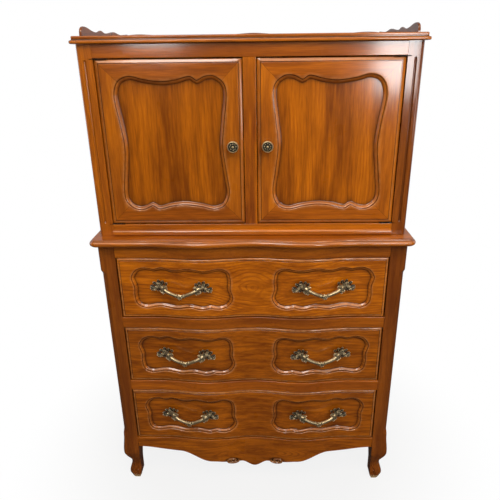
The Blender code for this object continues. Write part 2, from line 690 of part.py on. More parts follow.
def drawer_front(name, foot, material, parent):
    """Serpentine drawer front with two carved fields, modelled flat as its right half and then curved."""
    half_height = DRAWER_HEIGHT / 2
    field_half = (DRAWER_HALF - DRAWER_FIELD_CENTRE_MARGIN - DRAWER_FIELD_END_MARGIN) / 2
    centre_x = DRAWER_FIELD_CENTRE_MARGIN + field_half
    outline = field_outline(DRAWER_FIELD, field_half, half_height - DRAWER_FIELD_EDGE_MARGIN)
    low = (-centre_x, -half_height)
    high = (DRAWER_HALF - centre_x, half_height)
    edge = on_rectangle(outline, low, high)
    loops = [(edge, DRAWER_FRONT_THICKNESS), (edge, EDGE_ROUND)]
    for turn in (math.pi / 4, math.pi / 2):
        inset = EDGE_ROUND * (1 - math.cos(turn))
        inner = stretched(edge, low, high, (low[0], low[1] + inset), (high[0] - inset, high[1] - inset))
        loops.append((inner, EDGE_ROUND * (1 - math.sin(turn))))
    loops += [(moved_in(outline, inset), share * DRAWER_FIELD_DEPTH) for inset, share in FIELD_MOULDING]
    middle = foot + half_height
    bm = loft([[(centre_x + p.x, FRONT_Y + depth, middle + p.y) for p in points] for points, depth in loops])
    inner_faces = [face for face in bm.faces if all(abs(vert.co.x) < FIT / 10 for vert in face.verts)]
    bmesh.ops.delete(bm, geom=inner_faces, context="FACES")
    for x in spread(0.0, SWELL_SPAN, round(SWELL_SPAN / FRONT_STRIP))[1:]:
        geometry = [*bm.verts, *bm.edges, *bm.faces]
        bmesh.ops.bisect_plane(bm, geom=geometry, dist=FIT / 30, plane_co=(x, 0, 0), plane_no=(1, 0, 0))
    bmesh.ops.triangulate(bm, faces=bm.faces)
    back = FRONT_Y + DRAWER_FRONT_THICKNESS
    for vert in bm.verts:
        if vert.co.y < back - FIT:
            vert.co.y -= swell(vert.co.x)
    copy = bmesh.ops.duplicate(bm, geom=[*bm.verts, *bm.edges, *bm.faces])["geom"]
    copied = [item for item in copy if isinstance(item, bmesh.types.BMVert)]
    bmesh.ops.scale(bm, vec=(-1, 1, 1), verts=copied)
    bmesh.ops.remove_doubles(bm, verts=bm.verts, dist=FIT / 10)
    return add_piece(name, bm, material, parent)


def drawer_side(name, side, foot, material, parent):
    """Drawer side, grooved along its inner face for the bottom."""
    top = foot + DRAWER_SIDE_HEIGHT
    outer = BOX_HALF
    inner = BOX_HALF - DRAWER_SIDE_THICKNESS
    groove = inner + DRAWER_GROOVE_DEPTH
    low = foot + DRAWER_BOTTOM_RISE - FIT
    high = foot + DRAWER_BOTTOM_RISE + DRAWER_BOTTOM_THICKNESS + FIT
    profile = (
        (outer, foot), (outer, top), (inner, top), (inner, high), (groove, high), (groove, low), (inner, low),
        (inner, foot),
    )
    ends = (BOX_FRONT_Y, BOX_BACK_Y)
    return add_piece(name, loft([[(side * x, y, z) for x, z in profile] for y in ends]), material, parent)


def drawer_bottom(name, foot, material, parent):
    half = BOX_HALF - DRAWER_SIDE_THICKNESS + DRAWER_GROOVE_DEPTH - FIT
    low = (-half, BOX_FRONT_Y, foot + DRAWER_BOTTOM_RISE)
    high = (half, BOX_BACK_Y, foot + DRAWER_BOTTOM_RISE + DRAWER_BOTTOM_THICKNESS)
    return add_piece(name, box(low, high), material, parent)


def drawer_back(name, foot, material, parent):
    half = BOX_HALF - DRAWER_SIDE_THICKNESS - FIT
    seat = foot + DRAWER_BOTTOM_RISE + DRAWER_BOTTOM_THICKNESS + FIT
    low = (-half, BOX_BACK_Y - DRAWER_SIDE_THICKNESS, seat)
    return add_piece(name, box(low, (half, BOX_BACK_Y, foot + DRAWER_SIDE_HEIGHT)), material, parent)


def pull_leaf(side):
    """Lobed leaf at one end of a pull, domed towards the front, standing on a round boss."""
    sections = []
    for share, spread_out in PULL_LEAF_DOME:
        loop = []
        for turn in spread(0.0, 2 * math.pi, 4 * PULL_LEAF_LOBES)[:-1]:
            reach = spread_out * (1 + PULL_LOBE_SHARE * math.cos(PULL_LEAF_LOBES * turn))
            x = side * (PULL_SPACING / 2 + PULL_LEAF_LENGTH * reach * math.cos(turn))
            z = PULL_LEAF_RISE + PULL_LEAF_HEIGHT * reach * math.sin(turn)
            loop.append((x, -PULL_BOSS_HEIGHT - share * PULL_LEAF_THICKNESS, z))
        sections.append(loop)
    return loft(sections)


def pull_boss(side):
    bm = cylinder((0, 0), PULL_BOSS_RADIUS, 0.0, PULL_BOSS_HEIGHT + PULL_LEAF_THICKNESS / 2)
    bmesh.ops.rotate(bm, verts=bm.verts, cent=(0, 0, 0), matrix=Matrix.Rotation(math.pi / 2, 3, "X"))
    bmesh.ops.translate(bm, verts=bm.verts, vec=(side * PULL_SPACING / 2, 0, PULL_LEAF_RISE))
    return bm


def pull_grip():
    """Drooping grip, thickest where it leaves the leaves and at the bud in its middle."""
    start = PULL_BOSS_HEIGHT + PULL_LEAF_THICKNESS / 2
    half = []
    for along, out, drop in PULL_GRIP_PATH:
        y = -start - out * (PULL_GRIP_REACH - start)
        half.append(Vector((along * PULL_SPACING, y, PULL_LEAF_RISE - drop * PULL_GRIP_DROP)))
    whole = half + [Vector((-p.x, p.y, p.z)) for p in reversed(half[:-1])]
    path = [*smooth_curve(whole, 3), whole[-1]]
    sections = []
    for i, point in enumerate(path):
        share = abs(point.x) / (PULL_SPACING / 2)
        radius = PULL_GRIP_RADIUS + (PULL_ROOT_RADIUS - PULL_GRIP_RADIUS) * share
        bud = max(0.0, 1 - abs(point.x) / (2 * PULL_BUD_RADIUS))
        along = (path[min(i + 1, len(path) - 1)] - path[max(i - 1, 0)]).normalized()
        up = Vector((0, 0, 1))
        out = along.cross(up).normalized()
        up = out.cross(along)
        radius += (PULL_BUD_RADIUS - PULL_GRIP_RADIUS) * bud
        turns = spread(0.0, 2 * math.pi, 10)[:-1]
        sections.append([point + radius * (math.cos(t) * out + math.sin(t) * up) for t in turns])
    return loft(sections)


def pull_mesh(material):
    """One cast piece: the grip with a leaf and a boss at each end."""
    body = add_piece("pull_body", pull_grip(), material)
    helpers = [body]
    for side in (-1, 1):
        helpers.append(combine(body, f"pull_leaf_{side}", pull_leaf(side), "UNION"))
        helpers.append(combine(body, f"pull_boss_{side}", pull_boss(side), "UNION"))
    bpy.context.view_layer.update()
    mesh = bpy.data.meshes.new_from_object(body.evaluated_get(bpy.context.evaluated_depsgraph_get()))
    for helper in helpers:
        bpy.data.objects.remove(helper, do_unlink=True)
    return mesh


def place_pull(name, mesh, side, middle, parent):
    """A pull seated on the floor of a carved field, turned to follow the serpentine front."""
    centre = (DRAWER_HALF + DRAWER_FIELD_CENTRE_MARGIN - DRAWER_FIELD_END_MARGIN) / 2
    inner = swell(centre - PULL_SPACING / 2)
    outer = swell(centre + PULL_SPACING / 2)
    lean = math.atan2(inner - outer, PULL_SPACING)
    clear = FIT + abs(PULL_BOSS_RADIUS * math.sin(lean))
    pull = bpy.data.objects.new(name, mesh)
    bpy.context.scene.collection.objects.link(pull)
    depth = DRAWER_FIELD_DEPTH - (inner + outer) / 2 - clear
    pull.parent = parent
    pull.location = Vector((side * centre, FRONT_Y + depth, middle)) - parent.location
    pull.rotation_euler = (0, 0, side * lean)
    return pull


def build_lower_chest(cherry, post_wood, secondary):
    for name, side in (("left", -1), ("right", 1)):
        front_leg(f"front_leg_{name}", side, post_wood)
        rear_leg(f"rear_leg_{name}", side, post_wood)
        lower_side(f"lower_side_{name}", side, cherry)
    half = LOWER_HALF - REAR_POST_SIZE - FIT
    back_panel("lower_back", half, SIDE_FOOT, LOWER_TOP - FIT, secondary)
    waist_top(cherry)
    front_rail("lower_top_rail", LOWER_TOP - LOWER_TOP_RAIL_HEIGHT, LOWER_TOP - FIT, cherry)
    apron(cherry)
    for name, floor in (("upper", 2), ("lower", 1)):
        top = APRON_TOP + floor * DRAWER_PITCH
        front_rail(f"{name}_drawer_rail", top - RAIL_HEIGHT, top, cherry)
    for name, floor in (("upper", 2), ("middle", 1), ("lower", 0)):
        dust_board(f"{name}_dust_board", APRON_TOP + floor * DRAWER_PITCH, secondary)


def build_upper_cabinet(cherry, post_wood, secondary, hinge_metal):
    depth_start = UPPER_Y + UPPER_POST_DEPTH + FIT
    depth_end = BACK_FACE_Y - FIT
    inner = UPPER_SIDE_INNER - FIT
    for name, side in (("left", -1), ("right", 1)):
        post = upper_post(f"upper_post_{name}", side, post_wood)
        pivot_hinge(f"{name}_upper_hinge", side, OPENING_HEAD - HINGE_GAP, True, post, hinge_metal)
        pivot_hinge(f"{name}_lower_hinge", side, OPENING_FOOT, False, post, hinge_metal)
        upper_side(f"upper_side_{name}", side, cherry)
    back_panel("upper_back", inner, WAIST_TOP + FIT, UPPER_TOP - FIT, secondary)
    rail_half = UPPER_INNER - FIT
    rail_back = UPPER_Y + RAIL_THICKNESS
    rail = box((-rail_half, UPPER_Y, OPENING_HEAD), (rail_half, rail_back, UPPER_TOP - FIT))
    add_piece("upper_top_rail", rail, cherry)
    upper_bottom_rail(cherry)
    half = CENTRE_STILE_WIDTH / 2
    stile = box((-half, UPPER_Y, OPENING_FOOT + FIT), (half, rail_back, OPENING_HEAD - FIT))
    add_piece("centre_stile", stile, cherry)
    floor = box((-inner, depth_start, OPENING_FOOT - FLOOR_THICKNESS), (inner, depth_end, OPENING_FOOT))
    add_piece("cabinet_floor", floor, secondary)
    shelf_half = inner + DADO_DEPTH
    shelf_front = UPPER_Y + SHELF_SETBACK
    shelf = box((-shelf_half, shelf_front, SHELF_Z), (shelf_half, depth_end, SHELF_Z + SHELF_THICKNESS))
    add_piece("shelf", shelf, secondary)
    top_board(cherry)
    gallery(cherry)


def build_doors(cherry, panel_wood, brass):
    for name, side in (("left", -1), ("right", 1)):
        pivot = add_joint(f"{name}_door_pivot", Vector((side * PIVOT_X, PIVOT_Y, DOOR_FOOT)))
        door_frame(f"{name}_door_frame", side, cherry, pivot)
        door_panel(f"{name}_door_panel", side, panel_wood, pivot)
        door_knob(f"{name}_door_knob", side, brass, pivot)


def build_drawers(drawer_wood, secondary, brass):
    mesh = pull_mesh(brass)
    for name, floor in (("upper", 2), ("middle", 1), ("lower", 0)):
        seat = APRON_TOP + floor * DRAWER_PITCH
        foot = seat + FIT
        slide = add_joint(f"{name}_drawer_slide", Vector((0, FRONT_Y, seat)))
        drawer_front(f"{name}_drawer_front", seat + DRAWER_GAP, drawer_wood, slide)
        drawer_back(f"{name}_drawer_back", foot, secondary, slide)
        drawer_bottom(f"{name}_drawer_bottom", foot, secondary, slide)
        middle = seat + DRAWER_GAP + DRAWER_HEIGHT / 2
        for hand, side in (("left", -1), ("right", 1)):
            drawer_side(f"{name}_drawer_{hand}_side", side, foot, secondary, slide)
            place_pull(f"{name}_drawer_{hand}_pull", mesh, side, middle, slide)


def main():
    clear_scene()
    cherry = finish("cherry", (0.30, 0.095, 0.022), 0.25)
    post_wood = finish("cherry_posts", (0.22, 0.062, 0.016), 0.28)
    panel_wood = finish("cherry_panels", (0.33, 0.105, 0.022), 0.25)
    drawer_wood = finish("cherry_drawers", (0.34, 0.115, 0.024), 0.25)
    secondary = finish("secondary_wood", (0.45, 0.30, 0.16), 0.6)
    brass = finish("antique_brass", (0.28, 0.22, 0.13), 0.38, 1.0)
    hinge_metal = finish("dark_hinge", (0.05, 0.04, 0.035), 0.45, 1.0)
    build_lower_chest(cherry, post_wood, secondary)
    build_upper_cabinet(cherry, post_wood, secondary, hinge_metal)
    build_doors(cherry, panel_wood, brass)
    build_drawers(drawer_wood, secondary, brass)


main()
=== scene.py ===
"""Looks of the highboy: joinery, carving, cast pulls, lacquer and a plain studio, set on its CAD frame."""

import contextlib
import math
from functools import partialmethod

import bpy
from mathutils import Matrix, Vector


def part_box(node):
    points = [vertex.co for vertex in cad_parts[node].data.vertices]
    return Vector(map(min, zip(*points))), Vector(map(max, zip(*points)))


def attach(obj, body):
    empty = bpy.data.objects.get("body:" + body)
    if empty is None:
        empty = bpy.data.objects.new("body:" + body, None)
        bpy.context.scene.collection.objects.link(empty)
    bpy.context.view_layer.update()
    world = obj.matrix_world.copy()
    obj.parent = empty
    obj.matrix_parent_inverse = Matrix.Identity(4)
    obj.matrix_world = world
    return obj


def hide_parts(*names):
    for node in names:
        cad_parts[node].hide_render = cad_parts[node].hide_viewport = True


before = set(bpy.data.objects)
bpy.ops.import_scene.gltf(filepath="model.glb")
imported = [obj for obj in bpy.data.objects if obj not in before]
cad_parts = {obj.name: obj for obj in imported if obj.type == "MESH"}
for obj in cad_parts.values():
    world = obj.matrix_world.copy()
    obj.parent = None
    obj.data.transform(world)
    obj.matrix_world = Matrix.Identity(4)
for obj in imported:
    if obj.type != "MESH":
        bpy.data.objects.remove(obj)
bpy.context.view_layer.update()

bl_info = {
    "name": "Highboy looks",
    "version": (1, 0, 0),
    "blender": (4, 5, 0),
    "location": "View3D > Sidebar > Highboy",
    "description": "Dresses a highboy's CAD frame in carved cherry, cast pulls and studio light",
    "category": "Object",
}

SIDES = (("left", -1), ("right", 1))
DRAWERS = ("upper", "middle", "lower")
FIT = 0.0003
# Points nearer than this are one point, and faces nearer than this to the middle are on it
MERGE = 1e-6
ON_MIDDLE = 1e-5
FULL_TURN = 2 * math.pi
QUARTER_TURN = math.pi / 2

# Places that the frame gives
RAIL_LOW, RAIL_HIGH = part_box("lower_top_rail")
SWELL_DEPTH = 0.013
SWELL_MARGIN = 0.094
FRONT_Y = RAIL_LOW.y + SWELL_DEPTH
POST_INNER = RAIL_HIGH.x + FIT
SWELL_SPAN = POST_INNER - SWELL_MARGIN
LOWER_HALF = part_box("rear_leg_right")[1].x
POST_SIZE = LOWER_HALF - POST_INNER
BACK_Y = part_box("rear_leg_right")[1].y
LOWER_TOP = RAIL_HIGH.z + FIT
UPPER_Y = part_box("upper_top_rail")[0].y
UPPER_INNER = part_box("upper_top_rail")[1].x + FIT
UPPER_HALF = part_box("upper_post_right")[1].x

# Front feet, by height: how far the corner stands out, how thick the leg is, how far its corner is cut
KNEE_HEIGHT = 0.117
CHAMFER_FOOT = 0.187
CHAMFER_HEAD = LOWER_TOP - 0.073
CHAMFER_RUN = 0.018
CHAMFER = 0.014
CORNER_ROUND = 0.004
LEG_OUTWARD = ((0.0, -0.005), (0.016, -0.001), (0.054, -0.009), (KNEE_HEIGHT, 0.005), (CHAMFER_FOOT, 0.0))
LEG_SIZE = (
    (0.0, 0.032), (0.016, 0.042), (0.054, 0.034), (KNEE_HEIGHT, POST_SIZE + 0.005),
    (CHAMFER_FOOT, POST_SIZE),
)
LEG_CORNER = (
    (0.0, CHAMFER), (0.054, CHAMFER), (KNEE_HEIGHT, CORNER_ROUND), (CHAMFER_FOOT, CORNER_ROUND),
    (CHAMFER_FOOT + CHAMFER_RUN, CHAMFER), (CHAMFER_HEAD - CHAMFER_RUN, CHAMFER),
    (CHAMFER_HEAD, CORNER_ROUND),
)
# Rear legs: height, and thickness
REAR_LEG = ((0.0, 0.032), (0.004, 0.0323), (KNEE_HEIGHT, 0.040), (LOWER_TOP - FIT, 0.040))
# How far corners are eased. Four are those of a section, in turn from its low corner. A chamfer's own two
# corners are eased by a share of it.
LEG_EASE = 0.0014
LEG_BACK_EASE = 0.002
CHAMFER_EASE = 0.4
REAR_LEG_EASE = (0.0015, 0.002, 0.002, 0.0015)
RAIL_EASE = (0.0016, 0.0008, 0.0008, 0.0016)
APRON_EASE = (0.0025, 0.002, 0.0008, 0.0012)
GALLERY_EASE = (0.0003, 0.0003, 0.0018, 0.0018)
BEADED_EASE = 0.0012
# Rise of the arch under a side of the chest
SIDE_ARCH = 0.014

# Carved scroll on a front foot: share of the way across its face from the inner edge, and height
FOOT_SCROLL = (
    (0.10, 0.130), (0.09, 0.100), (0.16, 0.072), (0.30, 0.052), (0.58, 0.042), (0.74, 0.030), (0.68, 0.017),
    (0.46, 0.013), (0.32, 0.022), (0.40, 0.032), (0.54, 0.028),
)
FOOT_SCROLL_WIDTH = 0.0022
# Share of that width at its start, and the points over which a whole width would be gained
FOOT_SCROLL_START = 0.35
FOOT_SCROLL_GROWTH = 12

# Outline of a carved field from one cusp to the opposite one, as shares of its half width and half
# height. The other half is the same stretch turned half a turn.
DOOR_FIELD = (
    (-0.477, 0.937), (-0.346, 0.992), (-0.104, 0.946), (0.138, 0.926), (0.429, 0.954), (0.692, 1.0),
    (0.907, 0.926), (1.0, 0.714), (0.948, 0.343), (0.907, 0.0), (0.948, -0.343), (1.0, -0.714),
    (0.955, -0.886), (0.796, -0.989), (0.623, -0.992), (0.477, -0.937),
)
DRAWER_FIELD = (
    (0.551, 0.921), (0.639, 0.980), (0.769, 0.987), (0.912, 0.840), (1.0, 0.486), (0.956, 0.044),
    (0.966, -0.309), (0.939, -0.692), (0.857, -0.898), (0.714, -0.980), (0.442, -0.896),
    (0.136, -0.990), (-0.136, -0.901), (-0.374, -0.999), (-0.551, -0.921),
)
DOOR_FIELD_MARGIN = Vector((0.0375, 0.0365))
DRAWER_FIELD_MARGIN = 0.0255
DRAWER_FIELD_ENDS = (0.054, 0.0335)
# Which of a board's left and lower edges are shaped. A drawer's halves meet at the left one.
DOOR_EDGES = Vector((1, 1))
DRAWER_EDGES = Vector((0, 1))
# Shaped edge: its fall as a share of its width, the share of a plain slope in its round, and its wear, which
# paints a pale highlight along the edge as well
DOOR_EDGE_FORM = (0.4, 0.75, 0.4)
DRAWER_EDGE_FORM = (0.6, 0.0, 0.8)
# Fine groove inside that edge: its width, and by shares of the width its share of depth, and grime, which is
# dark polish with painted shade in the groove
EDGE_GROOVE = 0.0056
GROOVE_FORM = ((0.05, 1.35, 0.8), (0.28, 1.35, 0.8), (0.36, 0.5, 0.4), (0.42, 0.12, 0.1), (0.52, 0.0, 0.0))
# Loops on the plain face between the groove and the field, as shares of the way
DOOR_FACE = (0.4, 0.8)
DRAWER_FACE = (0.15, 0.3, 0.45, 0.6, 0.75, 0.9)
# Moulding around a field: how far in, share of its depth, grime that it holds, which is dark polish with
# painted shade, and wear on it, which paints a pale highlight along its rim
FIELD_MOULDING = (
    (0.0, 0.0, 0.0, 0.4), (0.0007, 0.02, 0.0, 0.6), (0.0014, 0.09, 0.0, 0.5), (0.0019, 0.20, 0.2, 0.0),
    (0.0022, 0.30, 0.9, 0.0), (0.0031, 0.315, 0.9, 0.0), (0.0041, 0.33, 0.2, 0.1), (0.0053, 0.40, 0.0, 0.4),
    (0.0066, 0.52, 0.0, 0.2), (0.0078, 0.68, 0.0, 0.0), (0.0089, 0.83, 0.1, 0.0), (0.0099, 0.94, 0.5, 0.0),
    (0.0108, 0.985, 0.9, 0.0), (0.0115, 1.0, 0.8, 0.0),
)
# Floor of a field, from its moulding to its middle: share of the way, and grime, which paints shade on the
# floor next to the moulding
FIELD_FLOOR = (
    (0.02, 0.32), (0.05, 0.14), (0.11, 0.04), (0.22, 0.0), (0.4, 0.0), (0.6, 0.0), (0.8, 0.0), (1.0, 0.0),
)
# How far the rebate for a panel is cut back from the field, and grime with painted shade along the panel's
# edge
DOOR_REBATE = 0.012
PANEL_EDGE_GRIME_AND_SHADE = 0.65

# Edges of the boards, from the underside up: share of the thickness, how far in from the edge, and grime,
# which paints shade on the underside and in the quirk
WAIST_EDGE = (
    (0.0, 0.0115, 0.9), (0.05, 0.0088, 0.5), (0.15, 0.0047, 0.1), (0.29, 0.0013, 0.0), (0.45, 0.0, 0.0),
    (0.60, 0.0006, 0.0), (0.72, 0.0022, 0.0), (0.79, 0.0040, 0.2), (0.82, 0.0056, 0.35),
    (0.87, 0.0066, 0.15), (0.95, 0.0070, 0.0), (1.0, 0.0084, 0.0),
)
TOP_EDGE = (
    (0.0, 0.0040, 0.9), (0.05, 0.0012, 0.4), (0.14, 0.0, 0.0), (0.34, 0.0, 0.0), (0.43, 0.0014, 0.2),
    (0.48, 0.0042, 0.8), (0.52, 0.0060, 1.0), (0.60, 0.0063, 0.6), (0.84, 0.0060, 0.0), (0.94, 0.0066, 0.0),
    (1.0, 0.0085, 0.0),
)
WAIST_CORNER = 0.020
TOP_CORNER = 0.010
# Scallops of the gallery: share of its run, and height
GALLERY_SIDE = (
    (0.0, 0.002), (0.004, 0.012), (0.02, 0.0185), (0.055, 0.022), (0.11, 0.0205), (0.19, 0.0148),
    (0.26, 0.0122), (0.31, 0.0140), (0.35, 0.0172), (0.37, 0.0181), (0.39, 0.0170), (0.42, 0.0140),
    (0.46, 0.0128), (0.54, 0.0150), (0.62, 0.0186), (0.68, 0.0188), (0.75, 0.0156), (0.82, 0.0140),
    (0.92, 0.0160), (1.0, 0.0180),
)
GALLERY_BACK_HALF = (
    (0.0, 0.0155), (0.03, 0.0178), (0.06, 0.0184), (0.10, 0.0165), (0.17, 0.0126), (0.22, 0.0142),
    (0.27, 0.0162), (0.32, 0.0142), (0.37, 0.0126), (0.43, 0.0160), (0.5, 0.0190),
)

# Lower edge of the apron: share of its half width, and height
APRON_EDGE = ((0.0, 0.058), (0.115, 0.079), (0.24, 0.080), (0.36, 0.0845), (0.64, 0.121), (1.0, 0.137))
# Carved scrolls of the apron. They lose most of their reach, and narrow, towards their middle.
SCROLL_PLACE = Vector((0.0735, 0.0855))
SCROLL_SIZE = Vector((0.0215, 0.0105))
SCROLL_TURNS = 1.6
SCROLL_LOSS = 0.8
SCROLL_OUT = 0.0010
SCROLL_WIDTH = 0.0034
SCROLL_NARROWING = 0.0012
# Rubbing on a scroll's ridge, which paints a pale highlight on it
SCROLL_WEAR_AND_HIGHLIGHT = 0.5

# Posts of the cabinet: rounded corner, and a flute with its distance from the post's inner edge, the run
# over which each end is modelled, the run over which it closes, and the share of its width left when closed
POST_CORNER = 0.009
FLUTE_PLACE = 0.020
FLUTE_END = 0.008
FLUTE_CLOSING = 0.006
FLUTE_CLOSED = 0.02
# Grime with painted shade in the flute, the share of its width that holds it, and the least depth
FLUTE_GRIME_AND_SHADE = 0.35
FLUTE_GRIME_AND_SHADE_WIDTH = 0.95
FLUTE_GRIME_AND_SHADE_DEPTH = 0.0005

# Cast pulls
PULL_SPACING = 0.132
PULL_RISE = 0.012
PULL_START = 0.0075
PULL_REACH = 0.029
PULL_DROP = 0.024
PULL_BOSS = 0.006
PULL_LEAF_OUT = 0.0085
# Depth in front of the field, and grime, which is tarnish with painted shade, darkest nearest the drawer
LEAF_TARNISH_AND_SHADE = ((0.0085, 1.0), (0.0115, 0.45), (0.0150, 0.0))
# Distance from the middle as a share of the spacing, and how far that place belongs to a leaf
LEAF_RANGE = ((0.28, 0.0), (0.36, 1.0))
# Half of the grip: shares of its spacing, of its reach beyond the leaf, and of its drop
GRIP_PATH = ((-0.5, 0.0, 0.0), (-0.4, 0.5, 0.12), (-0.25, 1.0, 0.52), (0.0, 1.0, 1.0))
# Half thickness of the grip, by the distance from its middle
GRIP_FORM = (
    (0.0, 0.0050), (0.0095, 0.0050), (0.0115, 0.0062), (0.0135, 0.0048), (0.03, 0.0050), (0.05, 0.0062),
    (0.066, 0.0066),
)
# Round forms on a pull, from the drawer outwards: depth, and radius
BOSS_FORM = ((0.0, PULL_BOSS), (0.004, PULL_BOSS), (0.0055, 0.0095), (0.0085, 0.0100), (0.0105, 0.0060))
BUTTON_FORM = ((0.002, 0.0030), (0.0058, 0.0030), (0.0072, 0.0022), (0.0078, 0.0006))
# Petals of the flower on a grip: distance from its middle, how far out, and half width
PETALS = 7
PETAL_FORM = ((0.001, 0.0040, 0.0018), (0.0050, 0.0058, 0.0033), (0.0092, 0.0040, 0.0015))
# Fronds of a leaf: place of the root from the pull's middle, direction from straight outwards in degrees,
# length, width, and how far in front of the leaf
LEAF_FRONDS = (
    (0.047, 0.011, 118, 0.0130, 0.0080, 0.0), (0.054, 0.014, 96, 0.0155, 0.0085, 0.0012),
    (0.062, 0.016, 70, 0.0150, 0.0085, 0.0), (0.070, 0.013, 42, 0.0150, 0.0085, 0.0012),
    (0.078, 0.007, 12, 0.0125, 0.0080, 0.0), (0.078, 0.006, -18, 0.0130, 0.0080, 0.0016),
    (0.047, 0.008, -104, 0.0135, 0.0080, 0.0), (0.055, 0.012, -84, 0.0185, 0.0085, 0.0012),
    (0.063, 0.013, -72, 0.0195, 0.0085, 0.0), (0.071, 0.011, -60, 0.0175, 0.0085, 0.0012),
    (0.078, 0.005, -46, 0.0130, 0.0080, 0.0), (0.053, 0.010, 32, 0.0120, 0.0075, 0.0036),
    (0.062, 0.011, -8, 0.0130, 0.0075, 0.0040), (0.069, 0.006, -30, 0.0120, 0.0070, 0.0034),
    (0.050, 0.005, -46, 0.0110, 0.0070, 0.0034), (0.060, 0.018, 18, 0.0110, 0.0070, 0.0030),
)
# Lobes of a frond: turn from its own direction, where they start along it, and their share of its size
FROND_LOBES = ((0, 0.0, 1.0), (44, 0.26, 0.50), (-44, 0.26, 0.50), (36, 0.52, 0.40), (-36, 0.52, 0.40))
# Along a lobe: share of its length, share of its width, and how far its middle stands out from its root
LOBE_FORM = (
    (0.0, 0.45, 0.0), (0.3, 0.9, 0.0010), (0.55, 1.0, 0.0008), (0.8, 0.85, 0.0014), (1.0, 0.3, 0.0036),
)
# Least share of the width that a lobe has, its thickness as a share of its width, and the rib on it
LOBE_LEAST = 0.55
LOBE_FLAT = 0.40
LOBE_RIB = 0.0010
# Fronds on the grip: distance of the root from the middle, direction, length, width
GRIP_FRONDS = (
    (0.055, 78, 0.0150, 0.0075), (0.054, -98, 0.0165, 0.0075), (0.046, 98, 0.0115, 0.0062),
    (0.045, -80, 0.0120, 0.0062), (0.056, 172, 0.0200, 0.0060),
)
GRIP_FROND_OUT = 0.003

# Turned and cast knob: shares of its radius and reach, share of the petals' relief, and grime, which is
# tarnish with painted shade in its neck and sunken ring
KNOB_PROFILE = (
    (0.0, 0.0, 0.0, 0.0), (0.75, 0.0, 0.0, 0.0), (0.78, 0.03, 0.0, 0.0), (0.76, 0.09, 0.0, 0.2),
    (0.62, 0.14, 0.0, 0.5), (0.46, 0.20, 0.0, 0.9), (0.38, 0.31, 0.0, 0.9), (0.38, 0.42, 0.0, 0.9),
    (0.52, 0.53, 0.0, 0.8), (0.80, 0.61, 0.0, 0.4), (0.95, 0.67, 0.0, 0.1), (1.0, 0.75, 0.0, 0.0),
    (0.99, 0.84, 0.0, 0.0), (0.94, 0.91, 0.0, 0.0), (0.87, 0.93, 0.0, 0.0), (0.81, 0.90, 0.0, 0.1),
    (0.77, 0.82, 0.0, 0.7), (0.73, 0.77, 0.0, 1.0), (0.68, 0.77, 0.3, 0.9), (0.58, 0.79, 1.0, 0.5),
    (0.47, 0.79, 1.0, 0.5), (0.38, 0.77, 0.5, 0.9), (0.32, 0.77, 0.0, 1.0), (0.28, 0.83, 0.0, 0.6),
    (0.21, 0.92, 0.0, 0.1), (0.11, 0.98, 0.0, 0.0), (0.0, 1.0, 0.0, 0.0),
)
KNOB_PETALS = 8
KNOB_RELIEF = 0.08
KNOB_PETAL_POWER = 0.6

# Share of the wood's colour that each door and each drawer rail keeps, as painted shade on the left door and
# on the rails
DOOR_SHADE_TONE = {"left": 0.88, "right": 1.0}
RAIL_SHADE_TONES = {"lower_top_rail": 0.94, "upper_drawer_rail": 0.8, "lower_drawer_rail": 0.98}

# Ways that the grain can run: along, and across on the face that shows
GRAIN = {
    "level": (Vector((1, 0, 0)), Vector((0, 0, 1))),
    "upright": (Vector((0, 0, 1)), Vector((1, 0, 0))),
    "upright_side": (Vector((0, 0, 1)), Vector((0, 1, 0))),
    "level_top": (Vector((1, 0, 0)), Vector((0, 1, 0))),
    "deep": (Vector((0, 1, 0)), Vector((0, 0, 1))),
}
# Figure of the wood: growth rings in a metre and how strong their lines are, ribbons of colour, how many of
# them lie across and along a metre, a swirl with its length and width, clouds, and golden bands with the
# place of one and the way to the next
FIGURE = {
    "rings": 60.0, "lines": 0.5, "ribbons": 0.8, "fineness": 34.0, "run": 2.4, "swirl": 0.0,
    "swirl_length": 1.0, "swirl_width": 1.0, "clouds": 0.5, "bands": 0.0, "band_place": 0.0,
    "band_pitch": 1.0,
}
STILE_FIGURE = {"lines": 0.35, "fineness": 50.0, "run": 5.0}
RAIL_FIGURE = {"lines": 0.4, "fineness": 50.0, "run": 5.0}
INNER_FIGURE = {"rings": 45.0, "lines": 0.45, "ribbons": 0.7}
APRON_FIGURE = {
    "rings": 70.0, "lines": 0.6, "ribbons": 0.8, "fineness": 60.0, "run": 8.0, "swirl": 0.9,
    "swirl_length": 0.16, "swirl_width": 0.03, "clouds": 0.9,
}
PANEL_FIGURE = {
    "rings": 110.0, "lines": 0.35, "ribbons": 0.75, "fineness": 44.0, "run": 4.0, "clouds": 0.8,
    "bands": 0.18,
}
PANEL_BANDS = {
    "left": {"band_place": -0.078, "band_pitch": 0.141},
    "right": {"band_place": -0.060, "band_pitch": 0.165},
}
DRAWER_FIGURE = {"rings": 95.0, "ribbons": 0.85, "fineness": 80.0, "run": 12.0, "clouds": 1.0}
DRAWER_SWIRLS = {
    "upper": {"lines": 0.8, "swirl": 1.0, "swirl_length": 0.088, "swirl_width": 0.072},
    "middle": {"lines": 0.5, "swirl": 0.9, "swirl_length": 0.2, "swirl_width": 0.05},
    "lower": {"lines": 0.5, "swirl": 0.9, "swirl_length": 0.25, "swirl_width": 0.04},
}
# Where the swirls lie: across each drawer front from its middle, and on the apron
SWIRL_ACROSS = {"upper": 0.0, "middle": -0.16, "lower": 0.1}
APRON_SWIRL = (0.05, 0, 0.12)
# Noise of the grain, along and across, in a metre
DRIFT_SCALE = (3.0, 13.0, 13.0)
PATCH_SCALE = (5.0, 30.0, 30.0)
CLOUD_SCALE = (7.0, 14.0, 14.0)
FIBRE_SCALE = (30.0, 850.0, 850.0)
